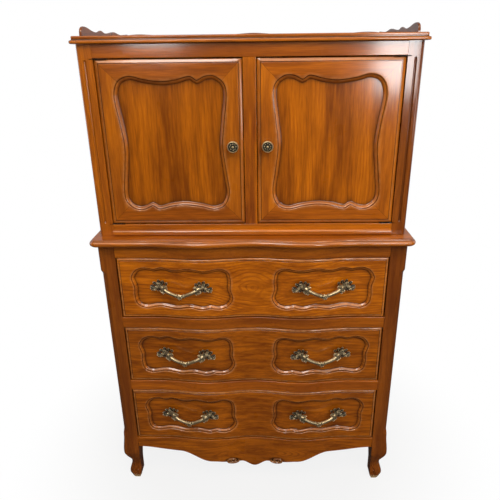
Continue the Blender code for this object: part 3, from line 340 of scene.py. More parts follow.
# How far that drift bends the growth lines and the bands, and how far the lines slant into the wood
LINE_DRIFT = 0.055
BAND_DRIFT = 0.07
LINE_SLANT = 0.6
# Share of the light colour in plain wood, and shades of its fibres
PLAIN_SHARE = 0.55
FIBRE_SHADES = (0.78, 1.18)
# Noise of the finishes, in a metre
BLOTCH_SCALE = (70.0, 70.0, 70.0)
HAZE_SCALE = (16.0, 16.0, 16.0)
TOE_SCALE = (90.0, 90.0, 90.0)
BRASS_SCALE = (320.0, 320.0, 320.0)
PIT_SCALE = (900.0, 900.0, 900.0)
SCUFF_SCALE = (240.0, 60.0, 240.0)
# Roughness: of the polish, what grime adds to it, and of inner wood, brass and steel from plain to rubbed
POLISH_ROUGHNESS = (0.27, 0.36)
GRIME_ROUGHNESS = 0.25
INNER_ROUGHNESS = (0.62, 0.5)
BRASS_ROUGHNESS = (0.5, 0.28)
STEEL_ROUGHNESS = (0.5, 0.32)
# Lacquer over the wood
LACQUER = {"Specular IOR Level": 0.05, "Coat Weight": 1.0, "Coat Roughness": 0.13, "Coat IOR": 1.7}
# Bumps: strength, and height
LACQUER_BUMP = (0.06, 0.0006)
INNER_BUMP = (0.25, 0.0006)
PIT_BUMP = (0.15, 0.0003)
# Bare wood of the toes: how ragged its edge is, the heights over which it fades, and its shares there
TOE_RAGGED = 0.020
TOE_FADE = (-0.002, 0.009, 0.95, 0.0)
# Dark seam of a mitre: distances over which it fades, and its shares there
MITRE_SEAM = (0.0002, 0.0007, 0.75, 0.0)
# Painted shade round a scroll of the apron: shares of its size over which it fades, and the shade there
SCROLL_SHADE = (0.7, 1.5, 1.0, 0.0)
# Brass: what blotches and grime do to its relief, where grime is tarnish with painted shade, and the relief
# from which it is rubbed and is bright
BRASS_BLOTCH = 0.08
BRASS_GRIME_AND_SHADE = 0.08
BRASS_RUBBED = (0.515, 0.562)
# Joint at the ends of a drawer side: tails, their length, and half of a tail's share of the pitch at its end
# and at its root
DOVETAILS = 4
DOVETAIL_LENGTH = 0.013
DOVETAIL_SHARES = (0.43, 0.33)
# Hinge steel, whole and scuffed
STEEL = (0.03, 0.024, 0.02, 1.0)
STEEL_SCUFFED = (0.16, 0.12, 0.08, 1.0)

# Studio: colours, size of the floor, and the light of the background, of the fill and of the dim room that
# glossy surfaces show
WHITE = (1.0, 1.0, 1.0, 1.0)
GREY = (0.4, 0.4, 0.4, 1.0)
FLOOR_RADIUS = 30.0
BACKGROUND_LIGHT = 1.0
FILL_LIGHT = 0.12
ROOM_LIGHT = 0.02
# Floor that the camera sees: distances over which it turns white, and shares of white at them
FLOOR_FADE = (0.35, 0.9, 0.85, 1.0)
# Background that glossy surfaces show: how far back it begins and is full, on the floor and in the world, and
# its share when full
MIRRORED_FLOOR = (0.3, 1.2)
MIRRORED_WORLD = (0.0, 0.35)
MIRRORED_SHARE = 0.35
# Lamps: place, aim, width and height, power, tint, and whether they light surfaces and gleam on glossy ones
PLAIN_LIGHT = (1.0, 1.0, 1.0)
WARM_LIGHT = (1.0, 0.87, 0.68)
LIGHTS = (True, False)
GLEAMS = (False, True)
BOTH = (True, True)
LAMPS = {
    "overhead_softbox": ((0.1, -1.35, 2.75), (0.0, -0.3, 0.9), (4.4, 0.8), 46.0, WARM_LIGHT, LIGHTS),
    "ceiling": ((0.0, -1.8, 2.9), (0.0, -1.8, 0.0), (5.0, 2.0), 80.0, WARM_LIGHT, GLEAMS),
    "front_softbox": ((1.3, -3.2, 3.1), (0.0, -0.2, 0.8), (2.4, 1.2), 76.0, PLAIN_LIGHT, LIGHTS),
    "back_softbox": ((0.6, 2.8, 2.3), (0.0, 0.2, 0.8), (2.0, 1.0), 45.0, PLAIN_LIGHT, LIGHTS),
    "left_softbox": ((-3.2, 0.4, 1.8), (0.0, 0.0, 0.8), (2.6, 2.6), 20.0, PLAIN_LIGHT, BOTH),
    "right_softbox": ((3.2, 0.4, 1.8), (0.0, 0.0, 0.8), (2.6, 2.6), 20.0, PLAIN_LIGHT, BOTH),
    "far_wall": ((0.0, -3.6, 2.12), (0.0, -0.2, 1.2), (5.0, 1.4), 5.0, PLAIN_LIGHT, BOTH),
    "right_window": ((1.17, -3.3, 1.36), (0.2, -0.2, 1.1), (0.40, 0.64), 10.0, PLAIN_LIGHT, BOTH),
    "left_window": ((-0.88, -3.3, 1.52), (-0.2, -0.2, 1.1), (0.42, 0.10), 2.2, PLAIN_LIGHT, BOTH),
    "left_gleam": ((-0.5, -1.75, 2.7), (-0.2, -0.27, 1.25), (0.75, 0.8), 13.0, PLAIN_LIGHT, GLEAMS),
    "right_gleam": ((1.70, -2.07, 1.0), (-0.04, -0.27, 1.2), (0.5, 0.4), 3.1, PLAIN_LIGHT, GLEAMS),
}
# Camera that took the photograph: place, and angles in degrees
CAMERA_PLACE = Vector((0.038, -1.476, 1.337))
CAMERA_PITCH = 21.69
CAMERA_YAW = -1.19
CAMERA_ROLL = 0.65
CAMERA_LENS = 35.23
CAMERA_SENSOR = 36.0
CAMERA_SHIFT = -0.012


def length(name, description, default):
    """A length that the sidebar shows."""
    return bpy.props.FloatProperty(
        name=name, description=description, default=default, unit="LENGTH", precision=4
    )


def colour(name, description, default):
    """A colour that the sidebar shows."""
    return bpy.props.FloatVectorProperty(
        name=name, description=description, default=default, subtype="COLOR", min=0.0, max=1.0
    )


class HighboySizes(bpy.types.PropertyGroup):
    """Sizes of the joinery and carving"""

    edge_round: length("Edge round", "Width of the rounded edge of a drawer", 0.0056)
    door_edge: length("Door edge", "Width of the sloping edge of a door", 0.0075)
    quirk: length("Quirk", "Depth of the fine groove inside that edge", 0.0012)
    bevel: length("Bevel", "Eased edge of a plain board", 0.0012)
    door_field: length("Door field", "Depth of the carved opening in a door", 0.009)
    drawer_field: length("Drawer field", "Depth of the carved fields in a drawer front", 0.008)
    flute_width: length("Flute width", "Width of the flute in a cabinet post", 0.0075)
    flute_depth: length("Flute depth", "Depth of the flute in a cabinet post", 0.0034)
    bead: length("Bead", "Height of the bead along the foot of the cabinet", 0.017)
    cast_grain: length("Cast grain", "Finest form that the cast metal keeps", 0.0005)


class HighboyColours(bpy.types.PropertyGroup):
    """Colours of the woods and metals"""

    cherry_light: colour("Cherry, light", "Light bands of the rails and boards", (0.46, 0.120, 0.0050))
    cherry_dark: colour("Cherry, dark", "Dark bands of the rails and boards", (0.20, 0.044, 0.0045))
    # The posts' darker wood, which the feet, the gallery and the right post take; on the right post it is
    # painted shade
    post_light: colour("Posts, light", "Light bands of the posts and feet", (0.28, 0.074, 0.0060))
    post_dark: colour("Posts, dark", "Dark bands of the posts and feet", (0.12, 0.027, 0.0040))
    stile_light: colour("Stiles, light", "Light bands of the door stiles", (0.52, 0.143, 0.0055))
    stile_dark: colour("Stiles, dark", "Dark bands of the door stiles", (0.24, 0.057, 0.0050))
    panel_light: colour("Panels, light", "Light bands of the door panels", (0.50, 0.134, 0.0030))
    panel_dark: colour("Panels, dark", "Dark bands of the door panels", (0.165, 0.036, 0.0020))
    drawer_light: colour("Upper drawer, light", "Light bands of the upper drawer", (0.57, 0.157, 0.0035))
    drawer_dark: colour("Upper drawer, dark", "Dark bands of the upper drawer", (0.25, 0.056, 0.0025))
    lower_light: colour("Lower drawers, light", "Light bands of the lower drawers", (0.415, 0.111, 0.0035))
    lower_dark: colour("Lower drawers, dark", "Dark bands of the lower drawers", (0.16, 0.035, 0.0025))
    inner_light: colour("Inner wood, light", "Light bands of the boards inside", (0.72, 0.47, 0.24))
    inner_dark: colour("Inner wood, dark", "Dark bands of the boards inside", (0.52, 0.31, 0.14))
    pin: colour("Dovetail pins", "End grain between the dovetails of a drawer", (0.27, 0.115, 0.04))
    # The grime colour is dark polish in the hollows and also painted shade in grooves, under edges and round
    # the fields
    grime_and_shade: colour("Grime And Shade", "Dark polish left in the hollows", (0.030, 0.009, 0.002))
    # The worn colour is polish rubbed thin and also a painted pale highlight along edges, rims and the apron
    # scrolls
    wear_and_highlight: colour("Worn edge", "Wood where the polish is rubbed thin", (0.57, 0.28, 0.10))
    bare: colour("Bare toe", "Wood of the toes, rubbed bare", (0.55, 0.36, 0.18))
    brass_bright: colour("Brass, rubbed", "Cast metal where hands rub it", (0.66, 0.53, 0.32))
    # The aged brass colour is tarnish and also painted shade in the hollows of the casting
    brass_tarnish_and_shade: colour("Brass, aged", "Cast metal in its hollows", (0.022, 0.019, 0.015))


def shades(light, dark=None, shade_tone=1.0):
    """The light and the dark colour of a wood, or the dark one of another, darkened by a share given as
    painted shade.
    """
    colours = bpy.context.scene.highboy_colours
    pair = (getattr(colours, f"{light}_light"), getattr(colours, f"{dark or light}_dark"))
    return [shade_tone * Vector(shade) for shade in pair]


def paint(name):
    """One of the colours, as a shader takes it."""
    return (*getattr(bpy.context.scene.highboy_colours, name), 1.0)


def spread(low, high, count):
    """Even steps from one value to another, both ends among them."""
    return [low + (high - low) * i / count for i in range(count + 1)]


def ease(keys, value):
    """The value between two keys, passed smoothly from one to the next."""
    for (start, low), (end, high) in zip(keys, keys[1:]):
        if value <= end:
            share = max(0.0, (value - start) / (end - start))
            return low + (high - low) * (1 - math.cos(math.pi * share)) / 2
    return keys[-1][1]


def smooth_curve(points, steps):
    """Points along a smooth open curve through the given ones, without the last of them."""
    ends = [2 * points[0] - points[1], *points, 2 * points[-1] - points[-2]]
    curve = []
    for before, start, end, after in zip(ends, ends[1:], ends[2:], ends[3:]):
        for i in range(steps):
            t = i / steps
            square = (2 * before - 5 * start + 4 * end - after) * t**2
            cube = (3 * start - before - 3 * end + after) * t**3
            curve.append((2 * start + (end - before) * t + square + cube) / 2)
    return curve


def curve_through(places, steps):
    """Points along a smooth open curve through the given ones, with the last of them."""
    points = [Vector(place) for place in places]
    return [*smooth_curve(points, steps), points[-1]]


def rounded(corners, radii, steps=4):
    """A closed outline through corners, each eased over its own radius."""
    corners = [Vector(corner) for corner in corners]
    outline = []
    for i, corner in enumerate(corners):
        start = corner + (corners[i - 1] - corner).normalized() * radii[i]
        end = corner + (corners[(i + 1) % len(corners)] - corner).normalized() * radii[i]
        for t in spread(0.0, 1.0, steps):
            outline.append((1 - t) ** 2 * start + 2 * t * (1 - t) * corner + t**2 * end)
    return outline


def section(low, high, radii):
    """A rectangle between a low and a high corner, its corners eased in turn from the low one."""
    return rounded(((low[0], low[1]), (high[0], low[1]), (high[0], high[1]), (low[0], high[1])), radii)


def swell(x):
    """How far the serpentine front stands forward of the posts."""
    if abs(x) >= SWELL_SPAN:
        return 0.0
    return SWELL_DEPTH * (1 - math.cos(FULL_TURN * x / SWELL_SPAN)) / 2


def field_outline(shape, half_width, half_height, steps=8):
    turn = smooth_curve([Vector((u * half_width, v * half_height)) for u, v in shape], steps)
    return turn + [-point for point in turn]


def moved_in(outline, distance):
    """A clockwise outline moved towards its inside."""
    moved = []
    for i, point in enumerate(outline):
        along = (outline[(i + 1) % len(outline)] - outline[i - 1]).normalized()
        moved.append(point + distance * Vector((along.y, -along.x)))
    return moved


def on_rectangle(outline, low, high):
    """Where rays from the middle through an outline's points meet a rectangle around it, corners kept."""
    edge = []
    for point in outline:
        reach_x = (high.x if point.x > 0 else low.x) / point.x if point.x else math.inf
        reach_y = (high.y if point.y > 0 else low.y) / point.y if point.y else math.inf
        edge.append(point * min(reach_x, reach_y))
    for x in (low.x, high.x):
        for y in (low.y, high.y):
            corner = Vector((x, y))
            nearest = max(range(len(edge)), key=lambda i: outline[i].normalized().dot(corner.normalized()))
            edge[nearest] = corner
    return edge


def stretched(points, low, high, new_low, new_high):
    """Points of one rectangle carried to another."""
    fitted = []
    for point in points:
        share_x = (point.x - low.x) / (high.x - low.x)
        share_y = (point.y - low.y) / (high.y - low.y)
        x = new_low.x + share_x * (new_high.x - new_low.x)
        y = new_low.y + share_y * (new_high.y - new_low.y)
        fitted.append(Vector((x, y)))
    return fitted


def between(one, two, share):
    return [a.lerp(b, share) for a, b in zip(one, two)]


def edge_profile(width, form, quirk):
    """Edge of a door or drawer and the fine groove inside it: inset, depth, dark polish with painted shade,
    and rubbing with a painted highlight.
    """
    fall, flat, edge_wear_and_highlight = form
    profile = []
    for share in spread(0.0, 1.0, 7):
        turn = share * QUARTER_TURN
        inset = width * (flat * share + (1 - flat) * (1 - math.cos(turn)))
        depth = quirk + fall * width * (flat * (1 - share) + (1 - flat) * (1 - math.sin(turn)))
        profile.append((inset, depth, 0.0, edge_wear_and_highlight * math.sin(turn) ** 2))
    for step, depth, grime_and_shade in GROOVE_FORM:
        profile.append((width + step * EDGE_GROOVE, quirk * depth, grime_and_shade, 0.0))
    return profile


def framed_field(outline, low, high, edges, profile, face, depth, thickness):
    """Loops over a board from the back of its edge to the foot of its field's moulding: points, depth,
    dark polish with painted shade, and rubbing with a painted highlight."""
    rim = on_rectangle(outline, low, high)
    loops = [(rim, thickness, 0.0, 0.0)]
    for inset, *rest in profile:
        points = stretched(rim, low, high, low + inset * edges, high - inset * Vector((1, 1)))
        loops.append((points, *rest))
    border = loops[-1][0]
    loops += [(between(border, outline, share), 0.0, 0.0, 0.0) for share in face]
    for inset, share, *marks in FIELD_MOULDING:
        loops.append((moved_in(outline, inset), share * depth, *marks))
    return loops


def field_floor(outline, depth):
    """Loops over the floor of a field, from its moulding to its middle, with painted shade next to the
    moulding.
    """
    return [([(1 - share) * p for p in outline], depth, grime_and_shade, 0.0) for share, grime_and_shade in FIELD_FLOOR]


def loop_marks(loops):
    return {"grime_and_shade": [loop[2] for loop in loops], "wear_and_highlight": [loop[3] for loop in loops]}


def select_only(*pieces):
    """Selects pieces and makes the first one active."""
    bpy.ops.object.select_all(action="DESELECT")
    for piece in pieces:
        piece.select_set(True)
    bpy.context.view_layer.objects.active = pieces[0]


def begin(name):
    """Names the active piece, which was just added or joined."""
    piece = bpy.context.object
    piece.name = name
    piece.data.name = name
    return piece


@contextlib.contextmanager
def editing():
    """Edit mode for the active piece, for as long as the block lasts."""
    bpy.ops.object.mode_set(mode="EDIT")
    yield
    bpy.ops.object.mode_set(mode="OBJECT")


def merge():
    """Merges points that meet in the mesh being edited, and selects all of it."""
    bpy.ops.mesh.select_all(action="SELECT")
    bpy.ops.mesh.remove_doubles(threshold=MERGE)
    bpy.ops.mesh.select_all(action="SELECT")


def close_up(piece):
    """Merges seams and poles, fills open ends and turns the faces outwards."""
    select_only(piece)
    with editing():
        merge()
        bpy.ops.mesh.fill_holes(sides=0)
        bpy.ops.mesh.select_all(action="SELECT")
        bpy.ops.mesh.normals_make_consistent(inside=False)


def set_mark(piece, label, values):
    """A value at each point of a mesh, for its material to read."""
    piece.data.attributes.new(label, "FLOAT", "POINT").data.foreach_set("value", values)


def lay_sheet(name, rows, ring=False, marks=None, closed=True):
    """A grid with its rows laid through the given points as loops. ring joins the last row to the first.
    marks holds mesh attributes, as values for each row or as a function of the point."""
    marks = marks or {}
    if ring:
        rows = [*rows, rows[0]]
        marks = {label: [*values, values[0]] for label, values in marks.items()}
    rows = [[*row, row[0]] for row in rows]
    bpy.ops.object.select_all(action="DESELECT")
    bpy.ops.mesh.primitive_grid_add(x_subdivisions=len(rows[0]) - 1, y_subdivisions=len(rows) - 1, size=1.0)
    piece = begin(name)
    piece.data.vertices.foreach_set("co", [c for row in rows for point in row for c in point])
    for label, values in marks.items():
        if callable(values):
            set_mark(piece, label, [values(Vector(point)) for row in rows for point in row])
        else:
            set_mark(piece, label, [value for value in values for _ in rows[0]])
    if closed:
        close_up(piece)
    return piece


def board(name, low, high, bevel, along=None):
    """A plain board with eased edges: all of them, or those along one axis where its ends butt."""
    bpy.ops.object.select_all(action="DESELECT")
    bpy.ops.mesh.primitive_cube_add(size=1.0, location=(low + high) / 2, scale=high - low)
    piece = begin(name)
    bpy.ops.object.transform_apply(location=True, rotation=True, scale=True)
    with editing():
        bpy.ops.mesh.select_mode(type="EDGE")
        bpy.ops.mesh.select_all(action="SELECT" if along is None else "DESELECT")
    if along is not None:
        for edge in piece.data.edges:
            start, end = (piece.data.vertices[v].co for v in edge.vertices)
            edge.select = abs((end - start)[along]) > MERGE
    with editing():
        bpy.ops.mesh.bevel(offset=bevel, segments=3, affect="EDGES")
        bpy.ops.mesh.select_mode(type="VERT")
    return piece


def serpentine_board(name, places, foot, high, radii):
    """A board with a serpentine front. foot gives the height of its lower edge at a place."""
    rows = []
    for x in places:
        loop = section((FRONT_Y - swell(x), foot(x)), (high.y, high.z), radii)
        rows.append([(x, p.x, p.y) for p in loop])
    return lay_sheet(name, rows)


def tube(name, path, widths, flat=1.0, segments=10, marks=None):
    """A closed tube along a path with a half width at each point. flat thins it towards the drawer."""
    rows = []
    for i, point in enumerate(path):
        along = (path[min(i + 1, len(path) - 1)] - path[max(i - 1, 0)]).normalized()
        side = along.cross(Vector((0, -1, 0))).normalized()
        out = side.cross(along)
        row = []
        for turn in spread(0.0, FULL_TURN, segments)[:-1]:
            row.append(point + widths[i] * (math.cos(turn) * side + flat * math.sin(turn) * out))
        rows.append(row)
    return lay_sheet(name, rows, marks=marks)


def joined(name, pieces):
    select_only(*pieces)
    bpy.ops.object.join()
    return begin(name)


def apply_modifier(piece, label, kind, **settings):
    select_only(piece)
    modifier = piece.modifiers.new(label, kind)
    for key, value in settings.items():
        setattr(modifier, key, value)
    bpy.ops.object.modifier_apply(modifier=modifier.name)


def settle(piece, material, body, slot, *nodes, smooth=32):
    """Shades a finished piece, gives it its material and sets it on its body in place of its nodes."""
    select_only(piece)
    bpy.ops.object.shade_smooth_by_angle(angle=math.radians(smooth))
    apply_modifier(piece, "flat faces", "WEIGHTED_NORMAL", keep_sharp=True)
    piece.data.materials.clear()
    piece.data.materials.append(material)
    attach(piece, body)
    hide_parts(*nodes)
    return piece


class Value:
    """A socket of a node tree that can be reckoned with like a number."""

    def __init__(self, tree, socket):
        self.tree = tree
        self.socket = socket

    def reckon(self, operation, *others):
        inputs = dict(enumerate((self, *others)))
        return node(self.tree, "ShaderNodeMath", inputs, operation=operation)[0]

    __add__ = partialmethod(reckon, "ADD")
    __sub__ = partialmethod(reckon, "SUBTRACT")
    __mul__ = partialmethod(reckon, "MULTIPLY")
    __truediv__ = partialmethod(reckon, "DIVIDE")
    __pow__ = partialmethod(reckon, "POWER")
    __abs__ = partialmethod(reckon, "ABSOLUTE")
    __gt__ = partialmethod(reckon, "GREATER_THAN")
    __lt__ = partialmethod(reckon, "LESS_THAN")

    def __rsub__(self, other):
        return self * -1.0 + other

    def graded(self, low, high, new_low=0.0, new_high=1.0):
        """A stretch of values carried smoothly to another."""
        inputs = dict(enumerate((self, low, high, new_low, new_high)))
        return node(self.tree, "ShaderNodeMapRange", inputs, interpolation_type="SMOOTHSTEP")[0]

    def blend(self, one, two):
        """A colour between two others, by this share."""
        return node(self.tree, "ShaderNodeMix", {0: self, 6: one, 7: two}, data_type="RGBA")[2]

    def scaled(self, scale):
        return node(self.tree, "ShaderNodeVectorMath", {0: self, 1: scale}, operation="MULTIPLY")[0]

    def noise(self, seed, scale, detail, rough=0.5):
        """Cloudy noise at this place, with its own scale along each axis."""
        place = self.scaled(scale)
        inputs = {"Vector": place, "W": seed, "Scale": 1.0, "Detail": detail, "Roughness": rough}
        return node(self.tree, "ShaderNodeTexNoise", inputs, noise_dimensions="4D")[0]

    def parts(self):
        """The X, Y and Z of a vector."""
        found = node(self.tree, "ShaderNodeSeparateXYZ", {0: self})
        return found["X"], found["Y"], found["Z"]

    def bumped(self, strength, distance):
        """The normal of a surface with this height."""
        inputs = {"Height": self, "Strength": strength, "Distance": distance}
        return node(self.tree, "ShaderNodeBump", inputs)[0]


def feed(tree, target, inputs):
    """Sets a node's inputs to numbers and colours or wires them to values."""
    for key, value in inputs.items():
        if isinstance(value, Value):
            tree.links.new(value.socket, target.inputs[key])
        else:
            target.inputs[key].default_value = value


def node(tree, kind, inputs=None, **settings):
    """Adds a node and gives its outputs, by number and by name."""
    made = tree.nodes.new(kind)
    for key, value in settings.items():
        setattr(made, key, value)
    feed(tree, made, inputs or {})
    found = {}
    for i, socket in enumerate(made.outputs):
        found[i] = Value(tree, socket)
        found[socket.name] = found[i]
    return found


def own_place(tree):
    """Where a point lies on the object."""
    return node(tree, "ShaderNodeTexCoord")["Object"]


def mark(tree, name):
    """A value that the mesh holds at its points."""
    return node(tree, "ShaderNodeAttribute", attribute_name=name)["Fac"]


def new_group(name, inputs, outputs):
    """A node group with sockets by kind, and what it is given."""
    tree = bpy.data.node_groups.new(name, "ShaderNodeTree")
    for way, sockets in (("INPUT", inputs), ("OUTPUT", outputs)):
        for kind, labels in sockets.items():
            for label in labels:
                tree.interface.new_socket(name=label, in_out=way, socket_type=f"NodeSocket{kind}")
    return tree, node(tree, "NodeGroupInput")


def socket_label(name):
    return name.replace("_", " ").title()


def grain_group():
    """Wood that grew along X: growth lines that bend round a swirl, ribbons of colour and fine fibres."""
    if "Wood grain" in bpy.data.node_groups:
        return bpy.data.node_groups["Wood grain"]
    numbers = ("Seed", *map(socket_label, FIGURE))
    inputs = {"Vector": ("Vector",), "Color": ("Light", "Dark"), "Float": numbers}
    tree, given = new_group("Wood grain", inputs, {"Color": ("Color",), "Float": ("Height",)})
    vector = given["Vector"]
    seed = given["Seed"]
    x, y, z = vector.parts()
    drift = vector.noise(seed, DRIFT_SCALE, 2.0) - 0.5
    # Growth lines run straight, and in rings within the swirl
    square = (x / given["Swirl Length"]) ** 2 + (y / given["Swirl Width"]) ** 2
    knot = (square * -1.0).reckon("EXPONENT") * given["Swirl"]
    ring = square.reckon("SQRT") * given["Swirl Width"]
    straight = z * LINE_SLANT + y
    place = straight + (ring - straight) * knot + drift * LINE_DRIFT
    wave = (place * given["Rings"] * FULL_TURN).reckon("SINE")
    patchy = vector.noise(seed + 5.0, PATCH_SCALE, 2.0).graded(0.28, 0.62)
    line = wave.graded(0.1, 1.0) * patchy * given["Lines"]
    # Ribbons, clouds and bands set how light the wood is
    fine = given["Fineness"]
    stretch = node(tree, "ShaderNodeCombineXYZ", {0: given["Run"], 1: fine, 2: fine})[0]
    ribbon = vector.noise(seed + 7.0, stretch, 4.0, 0.62).graded(0.30, 0.70)
    cloud = vector.noise(seed + 11.0, CLOUD_SCALE, 3.0)
    aside = (drift * BAND_DRIFT + y - given["Band Place"]) / given["Band Pitch"]
    band = (aside * FULL_TURN).reckon("COSINE")
    light = (ribbon - 0.5) * given["Ribbons"] + PLAIN_SHARE
    light = light + (cloud - 0.5) * given["Clouds"] + band * given["Bands"]
    fibre = vector.noise(seed + 3.0, FIBRE_SCALE, 2.0)
    wood = light.blend(given["Dark"], given["Light"])
    wood = line.blend(wood, given["Dark"]).scaled(fibre.graded(0.25, 0.75, *FIBRE_SHADES))
    node(tree, "NodeGroupOutput", {"Color": wood, "Height": fibre - line})
    return tree


def patina_and_painted_light_group():
    """Polish that has darkened in the hollows, where it also paints shade, and is rubbed thin on the edges,
    where it also paints highlights.
    """
    if "Patina With Painted Light" in bpy.data.node_groups:
        return bpy.data.node_groups["Patina With Painted Light"]
    colours = ("Color", "Grime Color", "Worn Color")
    inputs = {"Vector": ("Vector",), "Color": colours, "Float": ("Grime And Shade", "Wear And Highlight")}
    tree, given = new_group("Patina With Painted Light", inputs, {"Color": ("Color",), "Float": ("Roughness",)})
    blotch = given["Vector"].noise(0.0, BLOTCH_SCALE, 3.0)
    haze = given["Vector"].noise(2.0, HAZE_SCALE, 3.0)
    # The first mark darkens as dark polish and painted shade, the second lightens as rubbing and painted
    # highlight
    grime_and_shade_mask = given["Grime And Shade"] * blotch.graded(0.2, 0.6, 0.75, 1.0)
    edge = given["Wear And Highlight"] * blotch.graded(0.3, 0.65, 0.1, 0.6)
    wood = edge.blend(grime_and_shade_mask.blend(given["Color"], given["Grime Color"]), given["Worn Color"])
    rough = grime_and_shade_mask * GRIME_ROUGHNESS + haze.graded(0.3, 0.7, *POLISH_ROUGHNESS)
    node(tree, "NodeGroupOutput", {"Color": wood, "Roughness": rough})
    return tree


def new_material(name):
    material = bpy.data.materials.new(name)
    material.use_nodes = True
    tree = material.node_tree
    return material, tree, tree.nodes["Principled BSDF"]


def add_grain(tree, grain, seed, wood, centre=(0, 0, 0), **figure):
    """A grain group with its own values, on coordinates turned so that the grain runs along X."""
    along, across = GRAIN[grain]
    turn = Matrix((along, across, along.cross(across)))
    place = {"Vector": own_place(tree), "Location": -(turn @ Vector(centre)), "Rotation": turn.to_euler()}
    light, dark = wood
    inputs = {"Vector": node(tree, "ShaderNodeMapping", place)[0], "Seed": seed}
    inputs |= {"Light": (*light, 1.0), "Dark": (*dark, 1.0)}
    for name, value in (FIGURE | figure).items():
        inputs[socket_label(name)] = value
    return node(tree, "ShaderNodeGroup", inputs, node_tree=grain_group())


def lacquer(tree, shader, wood, height, grime_and_shade_mask=None):
    """Clear glossy lacquer over wood, with its patina, painted shade and painted highlights. A mask, where
    given, marks dark polish and painted shade where the mesh has no marks.
    """
    inputs = {
        "Color": wood, "Vector": own_place(tree), "Grime And Shade": grime_and_shade_mask or mark(tree, "grime_and_shade"),
        "Wear And Highlight": mark(tree, "wear_and_highlight"), "Grime Color": paint("grime_and_shade"), "Worn Color": paint("wear_and_highlight"),
    }
    # The patina group paints shade and highlight into the colour as well as age
    aged = node(tree, "ShaderNodeGroup", inputs, node_tree=patina_and_painted_light_group())
    normal = height.bumped(*LACQUER_BUMP)
    surface = {"Base Color": aged["Color"], "Roughness": aged["Roughness"], "Normal": normal}
    feed(tree, shader, LACQUER | surface)


def cherry(name, grain, seed, wood, **figure):
    material, tree, shader = new_material(name)
    grown = add_grain(tree, grain, seed, wood, **figure)
    lacquer(tree, shader, grown["Color"], grown["Height"])
    return material


def mitred_cherry(name, node_name, seed, shade_tone):
    """Door frame of two stiles and two rails that meet in mitres, each with its own grain, darkened by a
    share given as painted shade.
    """
    material, tree, shader = new_material(name)
    low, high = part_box(node_name)
    centre = (low + high) / 2
    half = (high - low) / 2
    stiles = add_grain(tree, "upright", seed, shades("stile", shade_tone=shade_tone), centre, **STILE_FIGURE)
    rails = add_grain(tree, "level", seed + 20, shades("cherry", shade_tone=shade_tone), centre, **RAIL_FIGURE)
    x, _, z = own_place(tree).parts()
    mitre = abs(z - centre.z) - half.z - (abs(x - centre.x) - half.x)
    in_rail = mitre > 0.0
    seam = abs(mitre).graded(*MITRE_SEAM)
    wood = seam.blend(in_rail.blend(stiles["Color"], rails["Color"]), paint("grime_and_shade"))
    height = stiles["Height"] + (rails["Height"] - stiles["Height"]) * in_rail
    lacquer(tree, shader, wood, height)
    return material


def apron_cherry(name, seed):
    """Wood of the apron, with painted shade round its carved scrolls."""
    material, tree, shader = new_material(name)
    wood = add_grain(tree, "level", seed, shades("lower"), APRON_SWIRL, **APRON_FIGURE)
    x, _, z = own_place(tree).parts()
    # Painted shade round each scroll, less where the scroll's ridge is rubbed
    aside = (abs(x) - SCROLL_PLACE.x) / SCROLL_SIZE.x
    above = (z - SCROLL_PLACE.y) / SCROLL_SIZE.y
    grime_and_shade_mask = (aside**2 + above**2).reckon("SQRT").graded(*SCROLL_SHADE)
    lacquer(tree, shader, wood["Color"], wood["Height"], grime_and_shade_mask * (1.0 - mark(tree, "wear_and_highlight")))
    return material


def foot_cherry(name, seed):
    """Wood of the legs, rubbed pale at the toes."""
    material, tree, shader = new_material(name)
    wood = add_grain(tree, "upright", seed, shades("post"), ribbons=0.7)
    place = own_place(tree)
    level = place.parts()[2] - place.noise(4.0, TOE_SCALE, 3.0) * TOE_RAGGED
    bare = level.graded(*TOE_FADE)
    lacquer(tree, shader, bare.blend(wood["Color"], paint("bare")), wood["Height"])
    return material


def dovetail_pins(tree, low, high):
    """Mask of the pins between the dovetails, at both ends of a drawer side and on its outer face only."""
    x, y, z = own_place(tree).parts()
    from_end = (y - low.y).reckon("MINIMUM", high.y - y)
    tail = ((z - low.z) / ((high.z - low.z) / DOVETAILS)).reckon("FRACT")
    pin = abs(tail - 0.5) > from_end.graded(0.0, DOVETAIL_LENGTH, *DOVETAIL_SHARES)
    in_joint = from_end < DOVETAIL_LENGTH
    outside = abs(x) > max(-low.x, high.x) - FIT
    return pin * in_joint * outside


def inner_wood(name, grain, seed, box=None):
    """Plain wood inside the case, without lacquer, with dovetails where the box of a drawer side is given."""
    material, tree, shader = new_material(name)
    wood = add_grain(tree, grain, seed, shades("inner"), **INNER_FIGURE)
    shade = wood["Color"]
    if box:
        shade = dovetail_pins(tree, *box).blend(shade, paint("pin"))
    rough = wood["Height"].graded(0.0, 1.0, *INNER_ROUGHNESS)
    normal = wood["Height"].bumped(*INNER_BUMP)
    feed(tree, shader, {"Base Color": shade, "Roughness": rough, "Normal": normal})
    return material


def aged_brass(name):
    """Cast brass, dark with tarnish and painted shade in its hollows and rubbed bright on what stands out."""
    material, tree, shader = new_material(name)
    place = own_place(tree)
    relief = node(tree, "ShaderNodeNewGeometry")["Pointiness"]
    blotch = place.noise(1.0, BRASS_SCALE, 3.0)
    pits = place.noise(6.0, PIT_SCALE, 2.0)
    relief = relief + blotch * BRASS_BLOTCH - mark(tree, "grime_and_shade") * BRASS_GRIME_AND_SHADE
    rubbed = relief.graded(*BRASS_RUBBED)
    surface = {
        "Base Color": rubbed.blend(paint("brass_tarnish_and_shade"), paint("brass_bright")),
        "Roughness": rubbed.graded(0.0, 1.0, *BRASS_ROUGHNESS),
        "Metallic": rubbed.graded(0.0, 0.6, 0.4, 0.85),
        "Normal": pits.bumped(*PIT_BUMP),
    }
    feed(tree, shader, surface)
    return material


